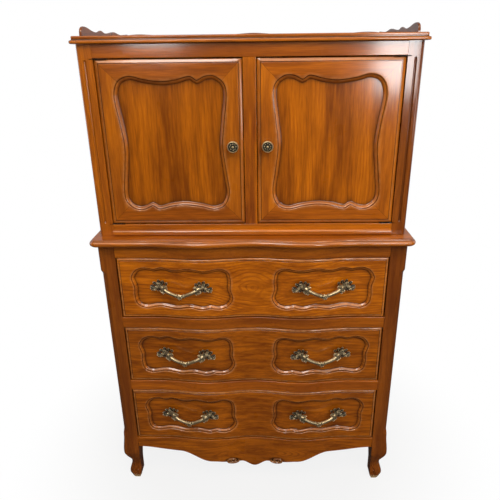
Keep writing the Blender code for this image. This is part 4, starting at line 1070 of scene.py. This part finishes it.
def dark_steel(name):
    """Bronzed hinge steel with a little wear."""
    material, tree, shader = new_material(name)
    scuff = own_place(tree).noise(3.0, SCUFF_SCALE, 3.0).graded(0.55, 0.75)
    rough = scuff.graded(0.0, 1.0, *STEEL_ROUGHNESS)
    feed(tree, shader, {"Base Color": scuff.blend(STEEL, STEEL_SCUFFED), "Roughness": rough, "Metallic": 0.9})
    return material


def shared(name, make, *values, **figure):
    """A material that several pieces share, made once."""
    return bpy.data.materials.get(name) or make(name, *values, **figure)


class HIGHBOY_OT_legs(bpy.types.Operator):
    """Front legs with chamfered corners and curved feet, and plain rear legs"""

    bl_idname = "highboy.legs"
    bl_label = "Legs"

    def front_leg(self, side):
        heights = [*spread(0.0, CHAMFER_FOOT, 60), *spread(CHAMFER_FOOT, CHAMFER_FOOT + CHAMFER_RUN, 10)[1:]]
        heights += [*spread(CHAMFER_HEAD - CHAMFER_RUN, CHAMFER_HEAD, 10), LOWER_TOP - FIT]
        rows = []
        for z in heights:
            outer = LOWER_HALF + ease(LEG_OUTWARD, z)
            front = FRONT_Y - ease(LEG_OUTWARD, z)
            size = ease(LEG_SIZE, z)
            cut = ease(LEG_CORNER, z)
            corners = (
                (outer - size, front), (outer - cut, front), (outer, front + cut), (outer, front + size),
                (outer - size, front + size),
            )
            radii = (LEG_EASE, CHAMFER_EASE * cut, CHAMFER_EASE * cut, LEG_BACK_EASE, LEG_EASE)
            rows.append([(side * p.x, p.y, z) for p in rounded(corners, radii)])
        return lay_sheet("leg", rows)

    def scroll(self, side):
        path = []
        for share, z in curve_through(FOOT_SCROLL, 8):
            inner = LOWER_HALF + ease(LEG_OUTWARD, z) - ease(LEG_SIZE, z)
            x = inner + share * (ease(LEG_SIZE, z) - ease(LEG_CORNER, z))
            path.append(Vector((side * x, FRONT_Y - ease(LEG_OUTWARD, z), z)))
        growth = [min(1.0, FOOT_SCROLL_START + i / FOOT_SCROLL_GROWTH) for i in range(len(path))]
        return tube("scroll", path, [FOOT_SCROLL_WIDTH * share for share in growth])

    def execute(self, context):
        material = shared("cherry_legs", foot_cherry, 1.0)
        for name, side in SIDES:
            leg = joined(f"shaped_front_leg_{name}", [self.front_leg(side), self.scroll(side)])
            settle(leg, material, "carcass", "cherry_posts", f"front_leg_{name}")
        for name, side in SIDES:
            rows = []
            for z, size in REAR_LEG:
                loop = section((LOWER_HALF - size, BACK_Y - size), (LOWER_HALF, BACK_Y), REAR_LEG_EASE)
                rows.append([(side * p.x, p.y, z) for p in loop])
            leg = lay_sheet(f"shaped_rear_leg_{name}", rows)
            settle(leg, material, "carcass", "cherry_posts", f"rear_leg_{name}")
        return {"FINISHED"}


class HIGHBOY_OT_sides(bpy.types.Operator):
    """Side boards of the chest, arched along their feet, and of the cabinet"""

    bl_idname = "highboy.sides"
    bl_label = "Side boards"

    def execute(self, context):
        bevel = context.scene.highboy_sizes.bevel
        for name, side in SIDES:
            material = cherry(
                f"cherry_side_{name}", "upright_side", 30.0 + side, shades("cherry"), rings=40.0, ribbons=0.7
            )
            low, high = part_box(f"lower_side_{name}")
            rows = []
            for y in spread(low.y, high.y, 48):
                foot = low.z + SIDE_ARCH * math.sin(math.pi * (y - low.y) / (high.y - low.y))
                loop = section((low.x, foot), (high.x, high.z), (bevel,) * 4)
                rows.append([(p.x, y, p.y) for p in loop])
            side_board = lay_sheet(f"arched_side_{name}", rows)
            settle(side_board, material, "carcass", "cherry", f"lower_side_{name}")
            side_board = board(f"cabinet_side_{name}", *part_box(f"upper_side_{name}"), bevel)
            settle(side_board, material, "carcass", "cherry", f"upper_side_{name}")
        return {"FINISHED"}


class HIGHBOY_OT_rails(bpy.types.Operator):
    """Serpentine rails between the drawers"""

    bl_idname = "highboy.rails"
    bl_label = "Drawer rails"

    def execute(self, context):
        # Each rail's wood is darkened by its share, as painted shade
        for i, (name, shade_tone) in enumerate(RAIL_SHADE_TONES.items()):
            low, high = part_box(name)
            places = [low.x, *spread(-SWELL_SPAN, SWELL_SPAN, 112), high.x]
            rail = serpentine_board(f"serpentine_{name}", places, lambda x: low.z, high, RAIL_EASE)
            material = cherry(f"cherry_{name}", "level", 40.0 + i, shades("cherry", shade_tone=shade_tone), lines=0.4)
            settle(rail, material, "carcass", "cherry", name)
        return {"FINISHED"}


class HIGHBOY_OT_apron(bpy.types.Operator):
    """Shaped apron with a carved scroll on each side of its middle lobe"""

    bl_idname = "highboy.apron"
    bl_label = "Apron"

    def scroll(self, side):
        path = []
        widths = []
        for share in spread(0.0, 1.0, 40):
            turn = FULL_TURN * SCROLL_TURNS * share
            reach = SCROLL_SIZE * (1 - SCROLL_LOSS * share)
            x = SCROLL_PLACE.x - reach.x * math.cos(turn)
            z = SCROLL_PLACE.y - reach.y * math.sin(turn)
            path.append(Vector((side * x, FRONT_Y - swell(x) - SCROLL_OUT, z)))
            widths.append(SCROLL_WIDTH - SCROLL_NARROWING * share)
        return tube("scroll", path, widths, marks={"wear_and_highlight": [SCROLL_WEAR_AND_HIGHLIGHT] * len(path)})

    def execute(self, context):
        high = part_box("apron")[1]
        edge = [(share * high.x, height) for share, height in APRON_EDGE]
        places = spread(-high.x, high.x, 240)
        lobed = serpentine_board("apron_board", places, lambda x: ease(edge, abs(x)), high, APRON_EASE)
        apron = joined("carved_apron", [lobed, *(self.scroll(side) for _, side in SIDES)])
        settle(apron, apron_cherry("cherry_apron", 51.0), "carcass", "cherry", "apron")
        return {"FINISHED"}


class HIGHBOY_OT_tops(bpy.types.Operator):
    """Moulded tops of the chest and of the cabinet"""

    bl_idname = "highboy.tops"
    bl_label = "Moulded tops"

    def moulded_top(self, name, node_name, edge, corner, curved):
        """A top with a moulded edge on its front and ends, which may follow the serpentine front."""
        low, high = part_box(node_name)
        end_y = low.y + (SWELL_DEPTH if curved else 0.0)
        rows = []
        steps = curve_through(edge, 3)
        for share, inset, _ in steps:
            loop = [(high.x - inset, high.y)]
            for turn in spread(0.0, QUARTER_TURN, 12):
                x = high.x - corner + (corner - inset) * math.cos(turn)
                loop.append((x, end_y + corner - (corner - inset) * math.sin(turn)))
            middle = []
            if curved:
                places = reversed(spread(-SWELL_SPAN, SWELL_SPAN, 120))
                middle = [(x, end_y - swell(x) + inset) for x in places]
            mirrored = [(-x, y) for x, y in reversed(loop)]
            z = low.z + share * (high.z - low.z)
            rows.append([(x, y, z) for x, y in [*loop, *middle, *mirrored]])
        return lay_sheet(name, rows, marks={"grime_and_shade": [step[2] for step in steps]})

    def execute(self, context):
        material = cherry("cherry_tops", "level_top", 61.0, shades("stile", "cherry"), rings=45.0)
        waist = self.moulded_top("moulded_waist", "waist_top", WAIST_EDGE, WAIST_CORNER, True)
        settle(waist, material, "carcass", "cherry", "waist_top")
        top = self.moulded_top("moulded_top", "top_board", TOP_EDGE, TOP_CORNER, False)
        settle(top, material, "carcass", "cherry", "top_board")
        return {"FINISHED"}


class HIGHBOY_OT_gallery(bpy.types.Operator):
    """Low scalloped gallery along the back and sides of the top"""

    bl_idname = "highboy.gallery"
    bl_label = "Gallery"

    def strip(self, name, scallops):
        low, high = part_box(f"gallery_{name}")
        size = high - low
        across = size.y if name == "back" else size.x
        rows = []
        for share, height in curve_through(scallops, 8):
            loop = section((0.0, low.z), (across, low.z + min(height, size.z)), GALLERY_EASE)
            if name == "back":
                rows.append([(low.x + share * size.x, low.y + p.x, p.y) for p in loop])
            else:
                rows.append([(low.x + p.x, low.y + share * size.y, p.y) for p in loop])
        return lay_sheet(f"scalloped_gallery_{name}", rows)

    def execute(self, context):
        mirrored = [(1 - share, height) for share, height in reversed(GALLERY_BACK_HALF[:-1])]
        back = (*GALLERY_BACK_HALF, *mirrored)
        strips = (("back", "level", back), ("left", "deep", GALLERY_SIDE), ("right", "deep", GALLERY_SIDE))
        for i, (name, grain, scallops) in enumerate(strips):
            material = cherry(f"cherry_gallery_{name}", grain, 71.0 + i, shades("post"))
            settle(self.strip(name, scallops), material, "carcass", "cherry", f"gallery_{name}")
        return {"FINISHED"}


class HIGHBOY_OT_posts(bpy.types.Operator):
    """Cabinet posts with a rounded corner and a stopped flute"""

    bl_idname = "highboy.posts"
    bl_label = "Cabinet posts"

    def outline(self, back, openness, half_width, flute_depth):
        """Section through a post, with its flute open by a share."""
        reach = half_width * max(openness, FLUTE_CLOSED)
        loop = [(UPPER_INNER, UPPER_Y + FIT), (UPPER_INNER + FIT, UPPER_Y)]
        for turn in spread(0.0, math.pi, 10):
            x = UPPER_INNER + FLUTE_PLACE - reach * math.cos(turn)
            loop.append((x, UPPER_Y + flute_depth * openness * math.sin(turn)))
        for turn in spread(0.0, QUARTER_TURN, 9):
            x = UPPER_HALF - POST_CORNER * (1 - math.sin(turn))
            loop.append((x, UPPER_Y + POST_CORNER * (1 - math.cos(turn))))
        return [*loop, (UPPER_HALF, back), (UPPER_INNER, back)]

    def execute(self, context):
        sizes = context.scene.highboy_sizes
        door_low, door_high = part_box("right_door_frame")
        half_width = sizes.flute_width / 2

        # Dark polish with painted shade inside the flute
        def flute_grime_and_shade(point):
            aside = abs(abs(point.x) - UPPER_INNER - FLUTE_PLACE)
            depth = point.y - UPPER_Y
            inside = FLUTE_GRIME_AND_SHADE_DEPTH < depth < 2 * sizes.flute_depth
            return FLUTE_GRIME_AND_SHADE if inside and aside < FLUTE_GRIME_AND_SHADE_WIDTH * half_width else 0.0

        for name, side in SIDES:
            low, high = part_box(f"upper_post_{name}")
            ends = spread(0.0, FLUTE_END, 8)
            stops = [*(door_low.z + t for t in ends), *(door_high.z - t for t in reversed(ends))]
            rows = []
            for z in (low.z, *stops, high.z):
                closing = 1 - max(0.0, min(z - door_low.z, door_high.z - z)) / FLUTE_CLOSING
                openness = math.sqrt(1 - max(0.0, closing) ** 2)
                loop = self.outline(high.y, openness, half_width, sizes.flute_depth)
                rows.append([(side * x, y, z) for x, y in loop])
            post = lay_sheet(f"fluted_post_{name}", rows, marks={"grime_and_shade": flute_grime_and_shade})
            # The right post takes the darker wood of the posts as painted shade
            wood = shades("stile" if name == "left" else "post")
            material = cherry(f"cherry_post_{name}", "upright", 81.0 + side, wood)
            settle(post, material, "carcass", "cherry_posts", f"upper_post_{name}")
        return {"FINISHED"}


class HIGHBOY_OT_cabinet_rails(bpy.types.Operator):
    """Rails above and below the doors, and the stile between them"""

    bl_idname = "highboy.cabinet_rails"
    bl_label = "Cabinet rails"

    def beaded_rail(self, bead):
        low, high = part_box("upper_bottom_rail")
        profile = [Vector((high.y, low.z))]
        for turn in spread(0.0, math.pi, 16):
            reach = (UPPER_Y - low.y) * math.sin(turn)
            profile.append(Vector((UPPER_Y - reach, low.z + bead * (1 - math.cos(turn)) / 2)))
        corners = ((UPPER_Y, low.z + bead), (UPPER_Y, high.z), (high.y, high.z))
        profile += rounded(corners, (0, BEADED_EASE, 0))[5:11]
        return lay_sheet("beaded_bottom_rail", [[(x, p.x, p.y) for p in profile] for x in (low.x, high.x)])

    def execute(self, context):
        sizes = context.scene.highboy_sizes
        material = cherry("cherry_bottom_rail", "level", 95.0, shades("drawer", "stile"), lines=0.4)
        settle(self.beaded_rail(sizes.bead), material, "carcass", "cherry", "upper_bottom_rail")
        material = cherry("cherry_top_rail", "level", 91.0, shades("cherry"), lines=0.4)
        rail = board("plain_top_rail", *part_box("upper_top_rail"), sizes.bevel, along=0)
        settle(rail, material, "carcass", "cherry", "upper_top_rail")
        material = cherry("cherry_stile", "upright", 93.0, shades("drawer", "cherry"), ribbons=1.2)
        stile = board("plain_centre_stile", *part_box("centre_stile"), sizes.bevel, along=2)
        settle(stile, material, "carcass", "cherry", "centre_stile")
        return {"FINISHED"}


class HIGHBOY_OT_doors(bpy.types.Operator):
    """Doors: mitred frames with a carved, moulded opening, and the panels behind them"""

    bl_idname = "highboy.doors"
    bl_label = "Doors"

    def execute(self, context):
        sizes = context.scene.highboy_sizes
        profile = edge_profile(sizes.door_edge, DOOR_EDGE_FORM, sizes.quirk)
        rebate = DOOR_FIELD_MARGIN.x - DOOR_REBATE
        for name, side in SIDES:
            low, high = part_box(f"{name}_door_frame")
            half = (high - low).xz / 2
            centre = (low + high) / 2
            thickness = high.y - low.y
            outline = field_outline(DOOR_FIELD, *(half - DOOR_FIELD_MARGIN))

            def rows_of(loops, front):
                rows = []
                for points, depth, _, _ in loops:
                    rows.append([(centre.x + side * p.x, front + depth, centre.z + p.y) for p in points])
                return rows

            loops = framed_field(
                outline, -half, half, DOOR_EDGES, profile, DOOR_FACE, sizes.door_field, thickness
            )
            rim = loops[0][0]
            foot = loops[-1][0]
            inner_half = half - Vector((rebate, rebate))
            inner = stretched(rim, -half, half, -inner_half, inner_half)
            loops += [(inner, sizes.door_field, 0.0, 0.0), (inner, thickness, 0.0, 0.0)]
            rows = rows_of(loops, low.y)
            door = lay_sheet(f"mitred_door_{name}", rows, ring=True, marks=loop_marks(loops))
            # The door's wood and panel are darkened by its share, as painted shade
            shade_tone = DOOR_SHADE_TONE[name]
            material = mitred_cherry(f"cherry_door_{name}", f"{name}_door_frame", 101.0 + side, shade_tone)
            settle(door, material, f"{name}_door", "cherry", f"{name}_door_frame", smooth=40)

            panel_low, panel_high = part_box(f"{name}_door_panel")
            panel_half = (panel_high - panel_low).xz / 2
            border = stretched(rim, -half, half, -panel_half, panel_half)
            loops = [(border, panel_high.y - panel_low.y, 0.0, 0.0), (border, 0.0, 0.0, 0.0)]
            loops += [(foot, 0.0, PANEL_EDGE_GRIME_AND_SHADE, 0.0), *field_floor(foot, 0.0)]
            rows = rows_of(loops, panel_low.y)
            panel = lay_sheet(f"grained_panel_{name}", rows, marks=loop_marks(loops))
            material = cherry(
                f"cherry_panel_{name}", "upright", 111.0 + side, shades("panel", shade_tone=shade_tone), centre=centre,
                **PANEL_FIGURE, **PANEL_BANDS[name],
            )
            settle(panel, material, f"{name}_door", "cherry_panels", f"{name}_door_panel")
        return {"FINISHED"}


class HIGHBOY_OT_knobs(bpy.types.Operator):
    """Cast door knobs with a rosette on the face"""

    bl_idname = "highboy.knobs"
    bl_label = "Knobs"

    def execute(self, context):
        material = shared("aged_brass", aged_brass)
        for name, _ in SIDES:
            low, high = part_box(f"{name}_door_knob")
            centre = (low + high) / 2
            radius = (high.x - low.x) / 2
            rows = []
            for share, out, relief, _ in KNOB_PROFILE:
                row = []
                for turn in spread(0.0, FULL_TURN, 96)[:-1]:
                    petal = abs(math.cos(KNOB_PETALS * turn / 2)) ** KNOB_PETAL_POWER - 0.5
                    y = high.y - (high.y - low.y) * min(1.0, out + relief * KNOB_RELIEF * petal)
                    x = centre.x + share * radius * math.cos(turn)
                    row.append((x, y, centre.z + share * radius * math.sin(turn)))
                rows.append(row)
            # Dark polish with painted shade in the knob's neck and sunken ring
            grime_and_shade = [step[3] for step in KNOB_PROFILE]
            knob = lay_sheet(f"rosette_knob_{name}", rows, marks={"grime_and_shade": grime_and_shade})
            settle(knob, material, f"{name}_door", "antique_brass", f"{name}_door_knob", smooth=50)
        return {"FINISHED"}


class HIGHBOY_OT_drawer_fronts(bpy.types.Operator):
    """Serpentine drawer fronts with two carved fields each"""

    bl_idname = "highboy.drawer_fronts"
    bl_label = "Drawer fronts"

    def half_front(self, name, low, high, side, sizes):
        """One half of a front, modelled flat and then carried onto the serpentine curve."""
        half_height = (high.z - low.z) / 2
        centre_x = (DRAWER_FIELD_ENDS[0] + high.x - DRAWER_FIELD_ENDS[1]) / 2
        field_half = (high.x - DRAWER_FIELD_ENDS[1] - DRAWER_FIELD_ENDS[0]) / 2
        outline = field_outline(DRAWER_FIELD, field_half, half_height - DRAWER_FIELD_MARGIN)
        corners = (Vector((-centre_x, -half_height)), Vector((high.x - centre_x, half_height)))
        profile = edge_profile(sizes.edge_round, DRAWER_EDGE_FORM, sizes.quirk)
        thickness = high.y - FRONT_Y
        loops = framed_field(
            outline, *corners, DRAWER_EDGES, profile, DRAWER_FACE, sizes.drawer_field, thickness
        )
        loops += field_floor(loops[-1][0], sizes.drawer_field)
        rows = []
        for i, (points, depth, _, _) in enumerate(loops):
            row = []
            for p in points:
                x = centre_x + p.x
                y = high.y if i == 0 else FRONT_Y + depth - swell(x)
                row.append((side * x, y, (low.z + high.z) / 2 + p.y))
            rows.append(row)
        return lay_sheet(name, rows, marks=loop_marks(loops), closed=False)

    def open_middle(self, front):
        """Takes out the faces between the two halves."""
        with editing():
            merge()
            bpy.ops.mesh.select_all(action="DESELECT")
        for face in front.data.polygons:
            face.select = all(abs(front.data.vertices[v].co.x) < ON_MIDDLE for v in face.vertices)
        with editing():
            bpy.ops.mesh.select_mode(type="FACE")
            bpy.ops.mesh.delete(type="FACE")
            bpy.ops.mesh.select_mode(type="VERT")

    def execute(self, context):
        sizes = context.scene.highboy_sizes
        for i, name in enumerate(DRAWERS):
            low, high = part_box(f"{name}_drawer_front")
            halves = [self.half_front(f"half_{side}", low, high, side, sizes) for _, side in SIDES]
            front = joined(f"carved_front_{name}", halves)
            self.open_middle(front)
            close_up(front)
            wood = shades("drawer" if name == "upper" else "lower")
            centre = (SWIRL_ACROSS[name], FRONT_Y, (low.z + high.z) / 2)
            material = cherry(
                f"cherry_front_{name}", "level", 121.0 + 3 * i, wood, centre=centre, **DRAWER_FIGURE,
                **DRAWER_SWIRLS[name],
            )
            settle(front, material, f"{name}_drawer", "cherry_drawers", f"{name}_drawer_front", smooth=40)
        return {"FINISHED"}


class HIGHBOY_OT_pulls(bpy.types.Operator):
    """Cast leaf pulls, modelled once and copied onto the drawers"""

    bl_idname = "highboy.pulls"
    bl_label = "Pulls"

    def grip_path(self):
        half = []
        for along, out, drop in GRIP_PATH:
            y = -PULL_START - out * (PULL_REACH - PULL_START)
            half.append((along * PULL_SPACING, y, PULL_RISE - drop * PULL_DROP))
        return curve_through([*half, *((-x, y, z) for x, y, z in reversed(half[:-1]))], 12)

    def frond(self, root, side, angle, reach, width):
        """A frond of teardrop lobes, curled forward at their tips, with a raised rib along the middle one."""
        pieces = []
        for turn, start, size in FROND_LOBES:
            stem, way = (
                Vector((side * math.cos(math.radians(a)), 0.0, math.sin(math.radians(a))))
                for a in (angle, angle + turn)
            )
            path = []
            widths = []
            for share, wide, out in curve_through(LOBE_FORM, 3):
                path.append(root + reach * (start * stem + size * share * way) + Vector((0.0, -out, 0.0)))
                widths.append(width / 2 * wide * max(size, LOBE_LEAST))
            pieces.append(tube("lobe", path, widths, flat=LOBE_FLAT))
            if turn == 0:
                rib = [p + Vector((0.0, -LOBE_FLAT * w, 0.0)) for p, w in zip(path, widths)]
                pieces.append(tube("rib", rib, [LOBE_RIB] * len(rib), segments=6))
        return pieces

    def turned(self, name, centre, form):
        """A round form that stands out from the drawer, from depths and radii."""
        rows = []
        for depth, radius in form:
            row = []
            for turn in spread(0.0, FULL_TURN, 20)[:-1]:
                row.append(centre + Vector((radius * math.cos(turn), -depth, radius * math.sin(turn))))
            rows.append(row)
        return lay_sheet(name, rows)

    def leaf(self, side):
        """Fronds that fan out from one end of a pull and run onto its grip, on a round boss."""
        pieces = []
        for x, z, angle, reach, width, front in LEAF_FRONDS:
            root = Vector((side * x, -PULL_LEAF_OUT - front, z))
            pieces += self.frond(root, side, angle, reach, width)
        path = self.grip_path()
        for place, angle, reach, width in GRIP_FRONDS:
            root = min(path, key=lambda p: abs(p.x - side * place)) + Vector((0.0, -GRIP_FROND_OUT, 0.0))
            pieces += self.frond(root, side, angle, reach, width)
        centre = Vector((side * PULL_SPACING / 2, 0.0, PULL_RISE))
        return [*pieces, self.turned("boss", centre, BOSS_FORM)]

    def grip(self):
        """Drooping grip with collars and a flower in its middle."""
        path = self.grip_path()
        pieces = [tube("grip", path, [ease(GRIP_FORM, abs(p.x)) for p in path], segments=16)]
        flower = path[len(path) // 2]
        widths = [width for _, _, width in PETAL_FORM]
        for turn in spread(0.0, FULL_TURN, PETALS)[:-1]:
            petal = []
            for reach, out, _ in PETAL_FORM:
                petal.append(flower + Vector((reach * math.cos(turn), -out, reach * math.sin(turn))))
            pieces.append(tube("petal", petal, widths, segments=8))
        return [*pieces, self.turned("button", flower, BUTTON_FORM)]

    def tarnish_and_shade(self, point):
        """Tarnish with painted shade in the depth of the leaves, darkest nearest the drawer, and not on the
        grip.
        """
        in_leaf = ease(LEAF_RANGE, abs(point.x) / PULL_SPACING)
        return in_leaf * ease(LEAF_TARNISH_AND_SHADE, -point.y)

    def place(self, low, high, side, field):
        """Where a pull stands on a drawer: in the middle of a field and turned with the serpentine front."""
        centre = (high.x + DRAWER_FIELD_ENDS[0] - DRAWER_FIELD_ENDS[1]) / 2
        inner = swell(centre - PULL_SPACING / 2)
        outer = swell(centre + PULL_SPACING / 2)
        lean = math.atan2(inner - outer, PULL_SPACING)
        clear = FIT + abs(PULL_BOSS * math.sin(lean))
        y = FRONT_Y + field - (inner + outer) / 2 - clear
        place = Matrix.Translation((side * centre, y, (low.z + high.z) / 2))
        return place @ Matrix.Rotation(side * lean, 4, "Z")

    def execute(self, context):
        material = shared("aged_brass", aged_brass)
        sizes = context.scene.highboy_sizes
        pull = joined("cast_pull", [*self.grip(), *self.leaf(-1), *self.leaf(1)])
        apply_modifier(pull, "cast", "REMESH", mode="VOXEL", voxel_size=sizes.cast_grain)
        apply_modifier(pull, "soften", "SMOOTH", factor=0.5, iterations=2)
        set_mark(pull, "grime_and_shade", [self.tarnish_and_shade(vert.co) for vert in pull.data.vertices])
        for name in DRAWERS:
            for hand, side in SIDES:
                copy = pull.copy()
                copy.data = pull.data.copy()
                copy.name = f"leaf_pull_{name}_{hand}"
                copy.data.name = copy.name
                context.scene.collection.objects.link(copy)
                copy.data.transform(self.place(*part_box(f"{name}_drawer_front"), side, sizes.drawer_field))
                node_name = f"{name}_drawer_{hand}_pull"
                settle(copy, material, f"{name}_drawer", "antique_brass", node_name, smooth=180)
        bpy.data.objects.remove(pull, do_unlink=True)
        return {"FINISHED"}


class HIGHBOY_OT_inner_boards(bpy.types.Operator):
    """Finish of the boards inside and behind the case, and of the hinges, which keep their CAD shapes"""

    bl_idname = "highboy.inner_boards"
    bl_label = "Inner boards and hinges"

    def execute(self, context):
        level = shared("inner_level", inner_wood, "level_top", 201.0)
        back = shared("inner_back", inner_wood, "upright", 205.0)
        crosswise = shared("inner_crosswise", inner_wood, "level", 207.0)
        steel = shared("hinge_steel", dark_steel)
        finishes = {"lower_back": back, "upper_back": back, "cabinet_floor": level, "shelf": level}
        for name in DRAWERS:
            finishes[f"{name}_dust_board"] = level
            finishes[f"{name}_drawer_bottom"] = level
            finishes[f"{name}_drawer_back"] = crosswise
            for hand, _ in SIDES:
                side = f"{name}_drawer_{hand}_side"
                finishes[side] = shared(f"inner_{name}_side", inner_wood, "deep", 203.0, box=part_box(side))
        for hand, _ in SIDES:
            for end in ("upper", "lower"):
                finishes[f"{hand}_{end}_hinge"] = steel
        for name, material in finishes.items():
            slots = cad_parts[name].data.materials
            slots.clear()
            slots.append(material)
        return {"FINISHED"}


class HIGHBOY_OT_stage(bpy.types.Operator):
    """Pale floor, soft studio light and the camera"""

    bl_idname = "highboy.stage"
    bl_label = "Stage"

    def mirrored(self, rays, place, start, end):
        """Where metal, lacquer and glass show the white background, which stands behind the piece."""
        behind = place.parts()[1].graded(start, end, 0.0, MIRRORED_SHARE)
        return behind * rays["Is Glossy Ray"].reckon("MAXIMUM", rays["Is Transmission Ray"])

    def light(self, tree, kind, strength):
        return node(tree, kind, {"Color": WHITE, "Strength": strength})[0]

    def mix(self, share, one, two):
        return node(share.tree, "ShaderNodeMixShader", {0: share, 1: one, 2: two})[0]

    def floor(self):
        """A floor that is white to the camera, a little shaded near the feet, and dim in reflections."""
        bpy.ops.object.select_all(action="DESELECT")
        bpy.ops.mesh.primitive_circle_add(
            vertices=96, radius=FLOOR_RADIUS, fill_type="NGON", location=(0, 0, -FIT)
        )
        floor = begin("studio_floor")
        bpy.ops.object.transform_apply(location=True, rotation=True, scale=True)
        material, tree, _ = new_material("pale_floor")
        tree.nodes.clear()
        place = own_place(tree)
        rays = node(tree, "ShaderNodeLightPath")
        distance = node(tree, "ShaderNodeVectorMath", {0: place}, operation="LENGTH")["Value"]
        seen = distance.graded(*FLOOR_FADE) * rays["Is Camera Ray"]
        matte = node(tree, "ShaderNodeBsdfDiffuse", {"Color": GREY})[0]
        dim = self.light(tree, "ShaderNodeEmission", ROOM_LIGHT)
        white = self.light(tree, "ShaderNodeEmission", BACKGROUND_LIGHT)
        share = seen.reckon("MAXIMUM", self.mirrored(rays, place, *MIRRORED_FLOOR))
        surface = self.mix(share, self.mix(rays["Is Glossy Ray"], matte, dim), white)
        node(tree, "ShaderNodeOutputMaterial", {"Surface": surface})
        floor.data.materials.append(material)

    def world(self):
        """White behind the piece, a soft fill on it, and a dim room in reflections."""
        world = bpy.data.worlds.new("studio")
        bpy.context.scene.world = world
        world.use_nodes = True
        tree = world.node_tree
        tree.nodes.clear()
        rays = node(tree, "ShaderNodeLightPath")
        direction = node(tree, "ShaderNodeTexCoord")["Generated"]
        strengths = (FILL_LIGHT, ROOM_LIGHT, BACKGROUND_LIGHT)
        fill, room, white = (self.light(tree, "ShaderNodeBackground", strength) for strength in strengths)
        share = rays["Is Camera Ray"].reckon("MAXIMUM", self.mirrored(rays, direction, *MIRRORED_WORLD))
        surface = self.mix(share, self.mix(rays["Is Glossy Ray"], fill, room), white)
        node(tree, "ShaderNodeOutputWorld", {"Surface": surface})

    def lamp(self, name, place, aim, size, power, tint, role):
        """An area lamp that lights surfaces, gleams on lacquer and metal, or does both."""
        light = bpy.data.lights.new(name, "AREA")
        light.color = tint
        light.shape = "RECTANGLE"
        light.size, light.size_y = size
        light.energy = power
        lamp = bpy.data.objects.new(name, light)
        bpy.context.scene.collection.objects.link(lamp)
        lamp.location = place
        lamp.rotation_euler = (Vector(aim) - Vector(place)).to_track_quat("-Z", "Y").to_euler()
        lamp.visible_diffuse, lamp.visible_glossy = role

    def camera(self):
        pitch, yaw, roll = (math.radians(a) for a in (CAMERA_PITCH, CAMERA_YAW, CAMERA_ROLL))
        level = Vector((math.sin(yaw), math.cos(yaw), 0.0))
        forward = math.cos(pitch) * level - Vector((0.0, 0.0, math.sin(pitch)))
        right = Vector((math.cos(yaw), -math.sin(yaw), 0.0))
        down = forward.cross(right)
        turned = math.cos(roll) * right + math.sin(roll) * down
        up = math.sin(roll) * right - math.cos(roll) * down
        data = bpy.data.cameras.new("photo_camera")
        data.lens = CAMERA_LENS
        data.sensor_width = CAMERA_SENSOR
        data.shift_x = CAMERA_SHIFT
        camera = bpy.data.objects.new("photo_camera", data)
        bpy.context.scene.collection.objects.link(camera)
        axes = Matrix((turned, up, -forward)).transposed()
        camera.matrix_world = Matrix.Translation(CAMERA_PLACE) @ axes.to_4x4()
        bpy.context.scene.camera = camera

    def execute(self, context):
        context.scene.view_settings.view_transform = "Standard"
        self.floor()
        self.world()
        for name, settings in LAMPS.items():
            self.lamp(name, *settings)
        self.camera()
        return {"FINISHED"}


OPERATORS = (
    HIGHBOY_OT_stage, HIGHBOY_OT_legs, HIGHBOY_OT_sides, HIGHBOY_OT_rails, HIGHBOY_OT_apron,
    HIGHBOY_OT_tops, HIGHBOY_OT_gallery, HIGHBOY_OT_posts, HIGHBOY_OT_cabinet_rails, HIGHBOY_OT_doors,
    HIGHBOY_OT_knobs, HIGHBOY_OT_drawer_fronts, HIGHBOY_OT_pulls, HIGHBOY_OT_inner_boards,
)


class HIGHBOY_PT_looks(bpy.types.Panel):
    """Sizes, colours and pieces of the highboy"""

    bl_idname = "HIGHBOY_PT_looks"
    bl_label = "Highboy"
    bl_space_type = "VIEW_3D"
    bl_region_type = "UI"
    bl_category = "Highboy"

    def draw(self, context):
        for group in (context.scene.highboy_sizes, context.scene.highboy_colours):
            for name in group.bl_rna.properties.keys():
                if name not in ("rna_type", "name"):
                    self.layout.prop(group, name)
        for operator in OPERATORS:
            self.layout.operator(operator.bl_idname)


CLASSES = (HighboySizes, HighboyColours, *OPERATORS, HIGHBOY_PT_looks)


def register():
    for cls in CLASSES:
        bpy.utils.register_class(cls)
    bpy.types.Scene.highboy_sizes = bpy.props.PointerProperty(type=HighboySizes)
    bpy.types.Scene.highboy_colours = bpy.props.PointerProperty(type=HighboyColours)


def unregister():
    del bpy.types.Scene.highboy_colours
    del bpy.types.Scene.highboy_sizes
    for cls in reversed(CLASSES):
        bpy.utils.unregister_class(cls)


def main():
    register()
    for operator in OPERATORS:
        group, name = operator.bl_idname.split(".")
        getattr(getattr(bpy.ops, group), name)()


if __name__ == "__main__":
    main()
